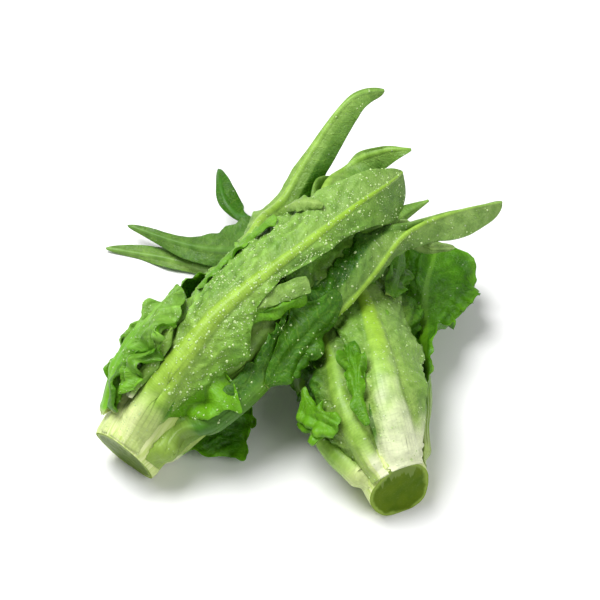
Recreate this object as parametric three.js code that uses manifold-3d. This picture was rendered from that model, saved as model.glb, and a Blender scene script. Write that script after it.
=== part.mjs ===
// An a-choy bunch: two heads of Taiwanese lettuce, lying crossed as they are sold.
// The upper head leans on the lower one. Each head is a cut stem and the leaves that grow from it.
// Millimetres and degrees, +Z up, the table at z = 0, the origin under the middle of the bunch.
import * as THREE from "three";
import { mergeVertices } from "three/addons/utils/BufferGeometryUtils.js";
import Module from "manifold-3d";

const wasm = await Module();
wasm.setup();

// Driving dimensions
const bladeThick = 0.8;
const clearance = 0.35; // left between leaves that press on each other
const pressedLow = 0.3; // how low a leaf's middle layer lies where the table presses it flat
const bunchMiddle = [-2, -4]; // across and along, in the frame that the axes below are given in
const table = { wide: 600, thick: 30 };
const leastHalf = 0.8; // the narrowest half of a blade
const ribShareMost = 0.45; // how much of a half blade its rib may take
const wander = { share: 0.05, turns: 3.3, left: 0.65, right: 0.2 }; // of a margin, of its half width
const shortWave = { turns: 1.7, height: 0.4, phase: 0.3 }; // beside the long waves of a margin
const rightWaveShift = 0.4; // the right half's waves come this much of a turn later
const ruffleGrowth = 1.6; // how fast the waves grow from the rib to the margin

// Fineness
const axisSteps = 400;
const tangentStep = 0.01;
const stemSides = 20;
const weld = 1e-4; // points nearer than this are one
const tidyLimit = 0.05; // how far a cut's small faces may be moved to be merged

// Colours and finish
const stemColor = 0xd3e2a0;
const outerFace = 0x7fb04a;
const innerFace = 0x4f9a2a;
const leafRoughness = 0.55;
const stemRoughness = 0.45;

// The stem's axis of each head, from the cut end through the middle of the leaves
const upperAxis = [
  [-101, -100.4, 18.6],
  [-81, -76, 34],
  [-58, -54, 47],
  [-34, -32, 59],
  [-10, -9, 69],
  [13, 15, 78],
  [36, 39, 86],
  [60, 63, 93],
];
const lowerAxis = [
  [56, -123.4, 19.1],
  [42, -91, 29],
  [37, -54, 31],
  [34, -18, 31],
  [24, 17, 28],
  [4, 48, 25],
  [-25, 70, 19],
  [-57, 86, 13],
];

const turn = 2 * Math.PI;
const radians = turn / 360;
const upward = new THREE.Vector3(0, 0, 1);

// The value at a share t of the way through a list of evenly spaced values
function along(list, t) {
  if (!Array.isArray(list)) return list;
  const last = list.length - 1;
  const x = Math.min(Math.max(t, 0), 1) * last;
  const i = Math.min(Math.floor(x), last - 1);
  const f = x - i;
  const [a, b, c, d] = [i - 1, i, i + 1, i + 2].map((k) => list[Math.min(Math.max(k, 0), last)]);
  const bend = (2 * a - 5 * b + 4 * c - d) * f + (3 * b - a - 3 * c + d) * f * f;
  return 0.5 * (2 * b + (c - a) * f + bend * f);
}

// A head: its stem's axis, which places a point by how far it is along the axis,
// how many degrees round it from the top, and how far out from it
function headOf(axis) {
  const at = (t) => new THREE.Vector3(...[0, 1, 2].map((k) => along(axis.map((p) => p[k]), t)));
  const points = Array.from({ length: axisSteps + 1 }, (_, i) => at(i / axisSteps));
  const lengths = [0];
  points.forEach((p, i) => i && lengths.push(lengths[i - 1] + p.distanceTo(points[i - 1])));

  function frame(distance) {
    let i = lengths.findIndex((l) => l > distance);
    if (i < 1) i = distance <= 0 ? 1 : axisSteps;
    const step = points[i].clone().sub(points[i - 1]);
    const share = (distance - lengths[i - 1]) / (lengths[i] - lengths[i - 1]);
    const centre = points[i - 1].clone().addScaledVector(step, share);
    const forward = step.normalize();
    const top = upward.clone().addScaledVector(forward, -forward.z).normalize();
    const side = forward.clone().cross(top);
    return { centre, forward, top, side };
  }

  function place(distance, round, out) {
    const { centre, top, side } = frame(distance);
    const angle = round * radians;
    return centre
      .addScaledVector(top, out * Math.cos(angle))
      .addScaledVector(side, out * Math.sin(angle));
  }
  return { frame, place };
}

const upperHead = headOf(upperAxis);
const lowerHead = headOf(lowerAxis);

// Leaves. A rib runs through points [along the stem's axis, degrees round it, out from it].
// The other lists run from root to tip: left and right are the half widths; fold is how far each
// half bends in at the rib, and roll how much further it bends by its margin; lean turns the leaf
// round its rib. Left and right are as seen from outside the head with the tip up.
const plain = {
  lean: 0,
  leftFold: 4,
  rightFold: 4,
  leftRoll: 45,
  rightRoll: 45,
  ribWidth: [11, 8, 4, 2.2, 1.2],
  ribHeight: [4.5, 4, 2.4, 1.4, 0.6],
  ruffle: [0, 2, 3, 2, 0.5],
  waves: 5,
  phase: 0,
  rows: 12,
  strips: 3,
  color: outerFace,
};
const small = { rows: 10, strips: 2 };

const upperLeaves = {
  // the broad leaf on top, its rib from the stem to the blunt tip
  front: {
    rib: [
      [20, 16, 24], [57, 16, 34], [93, 14, 40], [128, 19, 42], [164, 26, 41], [200, 34, 33],
      [233, 49, 16],
    ],
    left: [13, 20, 29, 37, 43, 43, 37, 27, 19, 13, 2.5],
    right: [13, 18, 24, 28, 14, 8.5, 10, 12, 16, 20, 10],
    leftFold: [0, 0, 5, 5, 5, 0],
    leftRoll: [70, 80, 85, 65, 40, 0],
    rightFold: 0,
    rightRoll: [60, 50, 35, 20, 15, 0],
    ribWidth: [14, 10, 7, 4.5, 3, 2, 1],
    ruffle: [0, 1.5, 2.5, 2.5, 1.5, 0.7, 0.4],
    waves: 6,
    phase: 0.1,
    rows: 14,
  },
  // the long leaf along the right side, twisted at its free end
  right: {
    rib: [
      [14, 78, 25], [46, 85, 38], [80, 87, 43], [109, 88, 44], [140, 89, 44],
      [172, 88, 43], [204, 84, 41], [234, 89, 50], [262, 96, 64],
    ],
    lean: [0, 0, -5, -10, -18, -32, -38, -30],
    left: [10, 13, 17, 22, 24, 25, 24, 6, 1.5, 2],
    right: [10, 16, 18, 18, 18, 18, 17, 17, 17, 4],
    leftFold: [0, 0, 0, 0, 5, 15, 50, 80],
    leftRoll: [30, 35, 45, 45, 40, 10, 0],
    rightFold: [10, 20, 40, 60, 70, 40, 10, 0, 0],
    rightRoll: [40, 40, 30, 20, 0],
    ribWidth: [13, 11, 8, 5, 4, 3, 2, 1],
    ruffle: [0, 2, 3, 2, 1, 0.3],
    waves: 6,
    phase: 0.2,
    rows: 15,
  },
  // the short ruffled leaf on the left of the stem
  flank: {
    rib: [[16, -45, 23], [34, -42, 32], [52, -38, 39], [71, -36, 42], [90, -36, 41.5]],
    left: [6, 12, 14, 9, 3],
    right: [8, 24, 28, 24, 8],
    leftRoll: [0, -10, 0],
    rightFold: 0,
    rightRoll: 20,
    ruffle: [0, 3.5, 4, 3, 1.5],
    waves: 4,
    phase: 0.3,
    rows: 10,
  },
  // the dark toothed leaf that sticks out under the right side
  under: {
    rib: [[16, 145, 24], [35, 146, 30], [52, 148, 33], [68, 150, 34], [84, 150, 33]],
    left: [5, 9, 24, 27, 22, 9, 3],
    right: [8, 18, 22, 18, 6],
    leftFold: [0, -40, -50, -50],
    leftRoll: -5,
    rightFold: 0,
    rightRoll: 40,
    ruffle: [0, 2.5, 3.5, 3.5, 1],
    waves: 4,
    phase: 0.15,
    rows: 10,
  },
  // the leaf between the front and the right leaf
  behind: {
    rib: [
      [22, 50, 25], [60, 63, 31], [94, 63, 32], [128, 73, 32], [163, 80, 31], [198, 93, 29],
      [233, 92, 32],
    ],
    left: [8, 18, 20, 24, 24, 14, 1.5],
    right: [8, 16, 14, 12, 12, 10, 1.5],
    leftFold: [0, 0, 0, 5, 10],
    leftRoll: 40,
    rightRoll: 40,
    ruffle: [0, 3, 3, 2, 1, 0.5],
    waves: 6,
    phase: 0.7,
  },
  // the leaf whose long tip stands highest in the picture
  left: {
    rib: [
      [20, -22, 24], [51, -24, 32], [83, -29, 34], [116, -34, 35], [148, -48, 34],
      [175, -81, 35], [206, -70, 41], [244, -52, 48.5], [265, -52, 39],
    ],
    lean: [0, 0, 0, 5, 34, 86, 80, 82, 98],
    left: [8, 13, 14, 14, 12, 9, 4, 2.5, 2.5, 5, 3],
    right: [8, 16, 20, 22, 22, 20, 18, 15, 12, 3],
    leftFold: [0, 0, 10, 30, 50, 50, 30],
    leftRoll: [50, 50, 50, 30, 20, 10],
    rightFold: [0, 0, 5, 5, 0, 0],
    rightRoll: [40, 40, 40, 50, 60, 40, 10],
    ruffle: [0, 2, 2, 1, 0.6, 0.3],
    phase: 0.45,
    rows: 14,
  },
  // the inner leaf whose tip shows beyond the front leaf
  far: {
    rib: [
      [50, 10, 22], [94, -5, 26], [139, -11, 30], [182, -20, 28], [216, -81, 27], [235, -40, 14],
      [249, 24, 11],
    ],
    lean: [0, 0, 0, 10, 75, 80, 0],
    left: [8, 14, 16, 14, 8, 3, 1.5],
    right: [8, 14, 16, 17, 16, 11, 1.5],
    leftFold: 15,
    leftRoll: 10,
    rightFold: 0,
    rightRoll: 0,
    waves: 4,
    ...small,
  },
  // the grey-green leaf whose end shows under the right leaf's tip
  tail: {
    rib: [
      [26, 112, 25], [70, 112, 34], [109, 107, 34], [150, 102, 35], [190, 101, 39], [224, 105, 61],
    ],
    left: [8, 16, 16, 14, 12, 9, 3],
    right: [8, 16, 16, 14, 12, 8, 3],
    leftRoll: [30, 10],
    rightRoll: [30, 10],
    ...small,
  },
  back: {
    rib: [[16, -125, 24], [52, -122, 34], [93, -118, 38], [135, -114, 34], [176, -108, 29], [215, -100, 22]],
    left: [8, 20, 26, 24, 14, 3],
    right: [8, 20, 26, 24, 14, 3],
    ruffle: [0, 2, 3, 3, 1],
    phase: 0.6,
    ...small,
  },
  belly: {
    rib: [[22, 195, 24], [59, 192, 30], [99, 187, 31], [138, 183, 28], [177, 177, 22], [215, 165, 16]],
    left: [8, 20, 26, 22, 12, 3],
    right: [8, 20, 26, 22, 12, 3],
    leftRoll: 60,
    rightRoll: 60,
    ruffle: [0, 2, 3, 3, 1],
    phase: 0.35,
    ...small,
  },
  heart_left: {
    rib: [[46, -50, 18], [100, -60, 22], [155, -69, 20], [210, -80, 14]],
    left: [6, 16, 20, 16, 2],
    right: [6, 16, 20, 16, 2],
    leftRoll: 60,
    rightRoll: 60,
    ...small,
  },
  heart_right: {
    rib: [[46, 90, 18], [100, 85, 22], [155, 80, 20], [210, 75, 16]],
    left: [6, 16, 20, 16, 2],
    right: [6, 16, 20, 16, 2],
    leftRoll: 60,
    rightRoll: 60,
    phase: 0.5,
    ...small,
  },
};

const lowerLeaves = {
  // the pale broad rib that runs up from the cut stem
  front: {
    rib: [[13, 12, 21], [41, 13, 34], [73, 13, 34], [106, 7, 31], [139, 3, 27], [171, 15, 22]],
    left: [13, 17, 20, 22, 14, 6],
    right: [18, 27, 32, 32, 22, 10],
    leftFold: 0,
    leftRoll: [60, 50, 40, 30],
    rightFold: 0,
    rightRoll: [25, 35, 60, 75, 60],
    ribWidth: [14, 9.5, 6, 4, 2.5, 1.5],
    ruffle: [0, 1.5, 3, 3, 2],
    phase: 0.6,
  },
  left: {
    rib: [[13, -42, 21], [40, -36, 32], [70, -38, 33], [107, -51, 32], [150, -72, 29]],
    left: [8, 20, 24, 20, 8],
    right: [8, 16, 18, 16, 8],
    leftFold: 0,
    leftRoll: [40, 60, 60, 40],
    rightFold: 0,
    rightRoll: 30,
    ruffle: [0, 2, 3, 3, 1],
    phase: 0.2,
    rows: 11,
  },
  ruffled: {
    rib: [[13, -84, 21], [37, -86, 31], [63, -86, 38], [97, -86, 41], [135, -88, 33]],
    left: [4, 8, 18, 24, 10],
    right: [8, 18, 22, 20, 8],
    leftFold: 0,
    leftRoll: 40,
    rightFold: 0,
    rightRoll: 30,
    ruffle: [0, 2, 5, 5, 2],
    waves: 4,
    phase: 0.5,
    rows: 11,
  },
  // the dark leaf that has flopped open on the right and shows its inner face
  right: {
    rib: [[14, 84, 22], [51, 90, 33], [86, 88, 37], [114, 92, 42], [135, 87, 52], [151, 84, 71]],
    lean: [0, 2, 20, 72, 85, 100],
    left: [8, 11, 8, 9, 18, 29, 31, 19],
    right: [8, 14, 16, 18, 18, 12],
    leftFold: 0,
    leftRoll: [20, -10, -25],
    rightFold: 0,
    rightRoll: [20, -10, -30],
    ruffle: [0, 3, 4, 4, 3],
    waves: 4,
    phase: 0.85,
    rows: 13,
    color: innerFace,
  },
  crook: {
    rib: [[46, 50, 25], [85, 55, 29], [120, 58, 33], [150, 55, 35]],
    left: [6, 14, 18, 10],
    right: [6, 14, 20, 12],
    leftRoll: 30,
    rightRoll: -10,
    ruffle: [0, 4, 5, 5],
    waves: 4,
    phase: 0.4,
    ...small,
  },
  side: {
    rib: [[16, 125, 21], [75, 119, 33], [118, 114, 31], [156, 109, 27], [195, 105, 24]],
    left: [8, 18, 24, 22, 14, 3],
    right: [8, 18, 24, 22, 14, 3],
    ruffle: [0, 2, 3, 3, 1],
    phase: 0.25,
    ...small,
  },
  belly: {
    rib: [[16, 180, 21], [65, 180, 29], [110, 180, 31], [155, 180, 29], [200, 180, 23]],
    left: [8, 20, 28, 24, 14, 3],
    right: [8, 20, 28, 24, 14, 3],
    ruffle: [0, 2, 3, 3, 1],
    phase: 0.55,
    ...small,
  },
  // the two long leaves that lie on the table, and the twisted tip behind them
  long_low: {
    rib: [
      [110, -112, 26], [156, -106, 29], [204, -106, 28], [245, -106, 28], [280, -100, 30],
      [315, -91, 37],
    ],
    lean: [0, 0, 45, 76, 75, 66],
    left: [8, 14, 10, 6, 5, 1.2],
    right: [8, 14, 15, 13, 9, 1.2],
    leftFold: 20,
    rightFold: 5,
    leftRoll: 0,
    rightRoll: 10,
    waves: 3,
    ...small,
  },
  long_high: {
    rib: [[105, -30, 24], [157, -20, 26], [206, -59, 24], [257, -79, 23], [306, -71, 22]],
    lean: [0, 0, 15, 56, 47],
    left: [8, 14, 15, 9, 1.2],
    right: [8, 18, 24, 9, 1.2],
    leftFold: 20,
    rightFold: 5,
    leftRoll: 0,
    rightRoll: 10,
    waves: 3,
    ...small,
  },
  back_tip: {
    rib: [
      [105, 50, 24], [140, 49, 23], [174, 55, 24], [200, 8, 9], [229, 2, 14], [246, 27, 18],
      [268, 65, 40],
    ],
    lean: [0, 0, -30, -55, -40, -17, -55],
    left: [8, 14, 14, 6, 3, 5, 1.2],
    right: [8, 14, 14, 6, 3, 10, 1.5],
    leftFold: 0,
    rightFold: 0,
    leftRoll: 0,
    rightRoll: 10,
    waves: 3,
    ...small,
  },
  heart: {
    color: innerFace,
    rib: [[50, 0, 18], [99, 0, 20], [150, 0, 19], [200, 0, 14]],
    left: [6, 16, 20, 2],
    right: [6, 16, 20, 2],
    leftRoll: 70,
    rightRoll: 70,
    ...small,
  },
};

// Stems: rings [along the axis, radius], and how much the cut end leans back at the top
const upperStem = {
  rings: [[0, 20.3], [3, 21.2], [18, 22], [35, 22], [55, 19], [80, 12], [100, 6]],
  slope: 0.15,
};
const lowerStem = {
  rings: [[-2, 18.4], [3, 19], [16, 19.3], [32, 19.5], [50, 17], [72, 12], [92, 6]],
  slope: 0.42,
};
const stemLobes = [[3, 0.7, 0.03], [5, 2, 0.02]]; // how many round the stem, where, how deep

// Where a point a share f out from the rib lies: across, and in from the leaf's face
function bent(fold, roll, width, f) {
  const end = fold + roll * f;
  if (roll === 0) return [width * f * Math.cos(fold), width * f * Math.sin(fold)];
  return [
    (width / roll) * (Math.sin(end) - Math.sin(fold)),
    (width / roll) * (Math.cos(fold) - Math.cos(end)),
  ];
}

// The waves of a margin, which differ from one half to the other
function waveAt(shape, t, sign) {
  const shift = sign > 0 ? rightWaveShift : 0;
  const long = Math.sin(turn * (shape.waves * t + shape.phase + shift));
  const short = Math.sin(turn * (shortWave.turns * shape.waves * t + shortWave.phase + shift / 2));
  return long + shortWave.height * short;
}

// The middle layer of a leaf as rows of points from the left margin to the right one
function layerOf(head, shape) {
  const { rows, strips } = shape;
  const ribAt = (t) => {
    const inside = Math.min(Math.max(t, 0), 1);
    return [0, 1, 2].map((k) => along(shape.rib.map((p) => p[k]), inside));
  };
  const layer = [];
  for (let i = 0; i <= rows; i++) {
    const t = i / rows;
    const [distance, round, out] = ribAt(t);
    const middle = head.place(distance, round, out);
    const before = head.place(...ribAt(t - tangentStep));
    const forward = head.place(...ribAt(t + tangentStep)).sub(before).normalize();
    const outward = middle.clone().sub(head.frame(distance).centre);
    outward.addScaledVector(forward, -outward.dot(forward)).normalize();
    outward.applyAxisAngle(forward, along(shape.lean, t) * radians);
    const rightward = forward.clone().cross(outward);
    const row = [];
    for (let j = -strips - 1; j <= strips + 1; j++) {
      const sign = Math.sign(j) || 1;
      const [half, fold, roll] = sign < 0
        ? [shape.left, shape.leftFold, shape.leftRoll]
        : [shape.right, shape.rightFold, shape.rightRoll];
      const start = sign > 0 ? wander.right : wander.left;
      const swing = Math.sin(turn * (wander.turns * t + start + shape.phase));
      const width = Math.max(along(half, t), leastHalf) * (1 + wander.share * swing);
      const inner = Math.min(along(shape.ribWidth, t) / width, ribShareMost);
      const share = j === 0 ? 0 : inner + ((1 - inner) * (Math.abs(j) - 1)) / strips;
      const foldAngle = along(fold, t) * radians;
      const rollAngle = along(roll, t) * radians;
      const [across, inward] = bent(foldAngle, rollAngle, width, share);
      const turned = foldAngle + rollAngle * share;
      const lift = along(shape.ruffle, t) * share ** ruffleGrowth * waveAt(shape, t, sign);
      const point = middle.clone().addScaledVector(rightward, sign * across);
      point.addScaledVector(outward, lift * Math.cos(turned) - inward);
      point.addScaledVector(rightward, sign * lift * Math.sin(turned));
      point.z = Math.max(point.z, pressedLow);
      row.push(point);
    }
    layer.push(row);
  }
  return layer;
}

// Moves the outermost rows and columns outwards, which widens the leaf all round
function widen(layer, by) {
  const last = layer.length - 1;
  const edge = layer[0].length - 1;
  const moves = [];
  for (const row of layer) moves.push([row[0], row[1]], [row[edge], row[edge - 1]]);
  for (let j = 0; j <= edge; j++) {
    moves.push([layer[0][j], layer[1][j]], [layer[last][j], layer[last - 1][j]]);
  }
  const steps = moves.map(([p, q]) => p.clone().sub(q).normalize());
  moves.forEach(([p], k) => p.addScaledVector(steps[k], by));
}

// A leaf as a closed solid, its rib raised on the outer face, and grown all round by a margin
function leafGeometry(head, shape, grow = 0) {
  const layer = layerOf(head, shape);
  if (grow) widen(layer, grow);
  const last = layer.length - 1;
  const edge = layer[0].length - 1;
  const point = (i, j) => layer[Math.min(Math.max(i, 0), last)][Math.min(Math.max(j, 0), edge)];
  const outer = [];
  const inner = [];
  for (let i = 0; i <= last; i++) {
    for (let j = 0; j <= edge; j++) {
      const up = point(i + 1, j).clone().sub(point(i - 1, j));
      const normal = point(i, j + 1).clone().sub(point(i, j - 1)).cross(up).normalize();
      const rise = 2 * j === edge ? along(shape.ribHeight, i / last) : 0;
      outer.push(point(i, j).clone().addScaledVector(normal, bladeThick / 2 + grow + rise));
      inner.push(point(i, j).clone().addScaledVector(normal, -bladeThick / 2 - grow));
    }
  }
  const count = outer.length;
  const a = (i, j) => i * (edge + 1) + j;
  const b = (i, j) => count + a(i, j);
  const faces = [];
  for (let i = 0; i < last; i++) {
    for (let j = 0; j < edge; j++) {
      faces.push(a(i, j), a(i, j + 1), a(i + 1, j + 1), a(i, j), a(i + 1, j + 1), a(i + 1, j));
      faces.push(b(i, j), b(i + 1, j + 1), b(i, j + 1), b(i, j), b(i + 1, j), b(i + 1, j + 1));
    }
    faces.push(a(i, 0), a(i + 1, 0), b(i + 1, 0), a(i, 0), b(i + 1, 0), b(i, 0));
    faces.push(a(i, edge), b(i + 1, edge), a(i + 1, edge), a(i, edge), b(i, edge), b(i + 1, edge));
  }
  for (let j = 0; j < edge; j++) {
    faces.push(a(0, j), b(0, j), b(0, j + 1), a(0, j), b(0, j + 1), a(0, j + 1));
    faces.push(a(last, j), a(last, j + 1), b(last, j + 1), a(last, j), b(last, j + 1), b(last, j));
  }
  return closed([...outer, ...inner], faces);
}

// A stem as rings of points round the axis, closed at the cut and at its hidden end
function stemGeometry(head, { rings, slope }, grow = 0) {
  const points = [];
  const faces = [];
  const last = rings.length - 1;
  const ends = [];
  rings.forEach(([distance, radius], i) => {
    const { centre, forward, top, side } = head.frame(distance);
    if (i === 0) centre.addScaledVector(forward, -grow);
    if (i === last) centre.addScaledVector(forward, grow);
    if (i === 0 || i === last) ends.push(centre.clone());
    for (let k = 0; k < stemSides; k++) {
      const angle = (turn * k) / stemSides;
      const swell = stemLobes.reduce((sum, [n, at, deep]) => sum + deep * Math.sin(n * angle + at), 1);
      const out = radius * swell + grow;
      const point = centre.clone();
      point.addScaledVector(top, out * Math.cos(angle)).addScaledVector(side, out * Math.sin(angle));
      if (i < 2) point.addScaledVector(forward, slope * out * Math.cos(angle));
      points.push(point);
    }
  });
  const at = (i, k) => i * stemSides + (k % stemSides);
  const first = points.length;
  for (let k = 0; k < stemSides; k++) {
    for (let i = 0; i < last; i++) {
      faces.push(at(i, k), at(i, k + 1), at(i + 1, k + 1), at(i, k), at(i + 1, k + 1), at(i + 1, k));
    }
    faces.push(first, at(0, k + 1), at(0, k), first + 1, at(last, k), at(last, k + 1));
  }
  return closed([...points, ...ends], faces);
}

function closed(points, faces) {
  const geometry = new THREE.BufferGeometry().setFromPoints(points);
  return geometry.setIndex(faces);
}

// Between three.js geometry and solids that can be cut
function solidOf(geometry) {
  const bare = geometry.toNonIndexed();
  bare.deleteAttribute("normal").deleteAttribute("uv");
  const merged = mergeVertices(bare, weld);
  const mesh = new wasm.Mesh({
    numProp: 3,
    vertProperties: merged.attributes.position.array,
    triVerts: new Uint32Array(merged.index.array),
  });
  return new wasm.Manifold(mesh);
}

function geometryOf(solid) {
  const mesh = solid.getMesh();
  const geometry = new THREE.BufferGeometry();
  geometry.setAttribute("position", new THREE.BufferAttribute(mesh.vertProperties, mesh.numProp));
  geometry.setIndex(new THREE.BufferAttribute(mesh.triVerts, 1));
  return geometry;
}

function boxesMeet(a, b) {
  const [p, q] = [a.boundingBox(), b.boundingBox()];
  return [0, 1, 2].every((k) => p.min[k] < q.max[k] && q.min[k] < p.max[k]);
}

// What lies lower than the table's top is cut off, which leaves a flat spot to rest on
const slab = new THREE.BoxGeometry(table.wide, table.wide, table.thick);
slab.translate(0, 0, -table.thick / 2);
const belowTable = solidOf(slab);

const bunch = new THREE.Group();
const placed = [];

// Adds a piece, clear of the table and of the pieces already placed, without the scraps cut off
function addPiece(name, geometry, grown, color, roughness) {
  let solid = solidOf(geometry).subtract(belowTable);
  for (const other of placed) if (boxesMeet(solid, other)) solid = solid.subtract(other);
  const bodies = solid.decompose().sort((a, b) => b.volume() - a.volume());
  placed.push(solidOf(grown));
  const material = new THREE.MeshStandardMaterial({ color, roughness, metalness: 0 });
  const mesh = new THREE.Mesh(geometryOf(bodies[0].simplify(tidyLimit)), material);
  mesh.name = name;
  bunch.add(mesh);
}

function addHead(prefix, head, stem, leaves) {
  const stemGrown = stemGeometry(head, stem, clearance);
  addPiece(prefix + "_stem", stemGeometry(head, stem), stemGrown, stemColor, stemRoughness);
  for (const [name, own] of Object.entries(leaves)) {
    const shape = { ...plain, ...own };
    const grown = leafGeometry(head, shape, clearance);
    addPiece(prefix + "_leaf_" + name, leafGeometry(head, shape), grown, shape.color, leafRoughness);
  }
}

addHead("upper", upperHead, upperStem, upperLeaves);
addHead("lower", lowerHead, lowerStem, lowerLeaves);

bunch.position.set(-bunchMiddle[0], -bunchMiddle[1], 0);

export default bunch;
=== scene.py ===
import math

import bpy
import numpy as np
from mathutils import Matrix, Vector
from mathutils.bvhtree import BVHTree


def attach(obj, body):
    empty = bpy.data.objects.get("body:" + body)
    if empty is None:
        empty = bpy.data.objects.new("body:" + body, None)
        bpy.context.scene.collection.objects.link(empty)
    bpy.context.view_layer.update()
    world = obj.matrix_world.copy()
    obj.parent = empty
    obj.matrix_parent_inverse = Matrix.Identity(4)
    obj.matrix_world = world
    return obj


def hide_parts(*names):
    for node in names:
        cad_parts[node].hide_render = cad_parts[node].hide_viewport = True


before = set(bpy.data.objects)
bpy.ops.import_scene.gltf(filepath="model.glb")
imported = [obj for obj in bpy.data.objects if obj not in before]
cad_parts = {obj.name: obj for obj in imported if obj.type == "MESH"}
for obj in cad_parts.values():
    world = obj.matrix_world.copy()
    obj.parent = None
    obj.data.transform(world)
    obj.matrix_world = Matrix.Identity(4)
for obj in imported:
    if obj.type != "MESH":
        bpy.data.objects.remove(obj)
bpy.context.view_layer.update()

# Two heads of a-choy, lying crossed. Millimetres until a mesh is made, degrees, +Z up.
# Each leaf is rebuilt fine from the same rib, half widths and bends as its solid, then pressed
# under or against the leaves that lie over it, and wrinkled.
MM = 0.001
TO_BUNCH = np.array([2.0, 4.0, 0.0])  # from the frame of the axes below to the bunch's own
TURN = 2 * math.pi
AXIS_STEPS = 400

# A blade's outline: least half width, how far the width wanders, how uneven it is as [share of
# the width, millimetres, row of the noise], and how much narrower the base and the tip are
LEAST_HALF = 0.8
WANDER = dict(share=0.05, turns=3.3, phases=(0.65, 0.2))
LOBES = [[0.05, 13, 0.5], [0.04, 4.5, 3.5]]
BASE_NARROWER = 0.25
TIP_NARROWER = 0.85
TIP_ROUND = 0.04  # the last share of a leaf's length, where its tip is rounded off

# Its waves, in millimetres or as shares, and its thickness
SHORT_WAVE = dict(turns=1.7, height=0.4, phase=0.3)
RIGHT_WAVE_SHIFT = 0.4
RUFFLE_GROWTH = 1.6
FRILL = dict(long=11, growth=3.5, slant=0.6, slim=14)
PLEAT = dict(long=9, wander=0.9, start=0.35)
BEND_SOFT = 0.07
BLADE_HALF = 0.28  # half a blade's thickness, and at the margin
MARGIN_HALF = 0.12
MARGIN_GROWTH = 6
PRESSED_LOW = 0.3  # how near the table a blade's middle comes, and its faces
FACE_LOW = 0.02

UPPER_AXIS = [
    [-101, -100.4, 18.6], [-81, -76, 34], [-58, -54, 47], [-34, -32, 59],
    [-10, -9, 69], [13, 15, 78], [36, 39, 86], [60, 63, 93],
]
LOWER_AXIS = [
    [56, -123.4, 19.1], [42, -91, 29], [37, -54, 31], [34, -18, 31],
    [24, 17, 28], [4, 48, 25], [-25, 70, 19], [-57, 86, 13],
]

# Stems: rings [along the axis, radius], and how much the cut end leans back at the top
UPPER_STEM = dict(
    rings=[[0, 20.3], [3, 21.2], [18, 22], [35, 22], [55, 19], [80, 12], [100, 6]],
    slope=0.15,
)
LOWER_STEM = dict(
    rings=[[-2, 18.4], [3, 19], [16, 19.3], [32, 19.5], [50, 17], [72, 12], [92, 6]],
    slope=0.42,
)
STEM_LOBES = [[3, 0.7, 0.03], [5, 2, 0.02]]

# Leaves. A rib runs through points [along the head's axis, degrees round it, out from it]. Every
# other list runs from root to tip. The values named in HALVES are given once for both halves of
# the blade, or in round brackets for the left and the right one: half the leaf's width, how far
# the blade bends in at the rib (fold) and further by its margin (roll), the margin's short waves
# in millimetres (frill), and a fold along the blade (bend), bend_at of the way out, beyond which
# the blade is also painted darker as painted shade. Lean is how the leaf turns round its rib.
# Ruffle is the margins' long waves, pleats the long folds of a crumpled blade and crumple the
# wrinkles, all in millimetres, right_calm how much smoother the right half is, and ragged how
# uneven the margin's outline is. Shade is how dark the leaf is painted, partly its own darker
# green and partly painted shade where it lies in shadow, bloom the grey wax on its outer face,
# fresh how bright the young green is, tone how much paler the left half is painted than the
# right one, which is painted light and shade for how the halves slant to the light, lime how
# bright the rib is, halo how light the blade is beside it, pale the share of the length where the
# rib is still pale, wet how many drops lie on the leaf, drops how many of them are droplets of
# their own, and fine the rows and the strips of each half. Extra marks folds that are no leaves of
# their own, clasps a leaf whose base clasps the stem, free one that lies where it is, unpressed,
# and loose one that presses no other.
HALVES = ("half", "fold", "roll", "frill", "bend")
PLAIN = dict(
    lean=0, fold=(4, 4), roll=(45, 45), bend=(0, 0), bend_at=0.5, rib_width=[11, 8, 4, 2.2, 1.2],
    rib_height=[4.5, 4, 2.4, 1.4, 0.6], ruffle=[0, 2, 3, 2, 0.5], waves=5, phase=0,
    frill=([0, 1.5, 1.5, 0.5], [0, 1.5, 1.5, 0.5]), pleats=0, crumple=[0.2, 1, 1, 0.4], right_calm=0,
    ragged=[1, 1, 0.5, 0.1, 0], shade=0.4, bloom=0.3, fresh=0, tone=0, lime=[0.3, 0.6, 0.6, 0.4, 0.25],
    halo=[0, 0.4, 0.3, 0.1], pale=0.08, wet=0.3, drops=0, fine=(90, 16), extra=False, clasps=True,
    free=False, loose=False,
)
MARGIN = dict(
    PLAIN, rib_width=1, rib_height=0, bloom=0, lime=0, halo=0, pale=0, extra=True, clasps=False,
)


def leaf(kind=PLAIN, **own):
    """A leaf's shape: its own values in those of its kind, and the halves' ones as pairs."""
    shape = dict(kind)
    for key, value in own.items():
        shape[key] = (value, value) if key in HALVES and not isinstance(value, tuple) else value
    return shape


def margin(**own):
    """A fold of a leaf's margin, which is no leaf of its own."""
    return leaf(MARGIN, **own)


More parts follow.
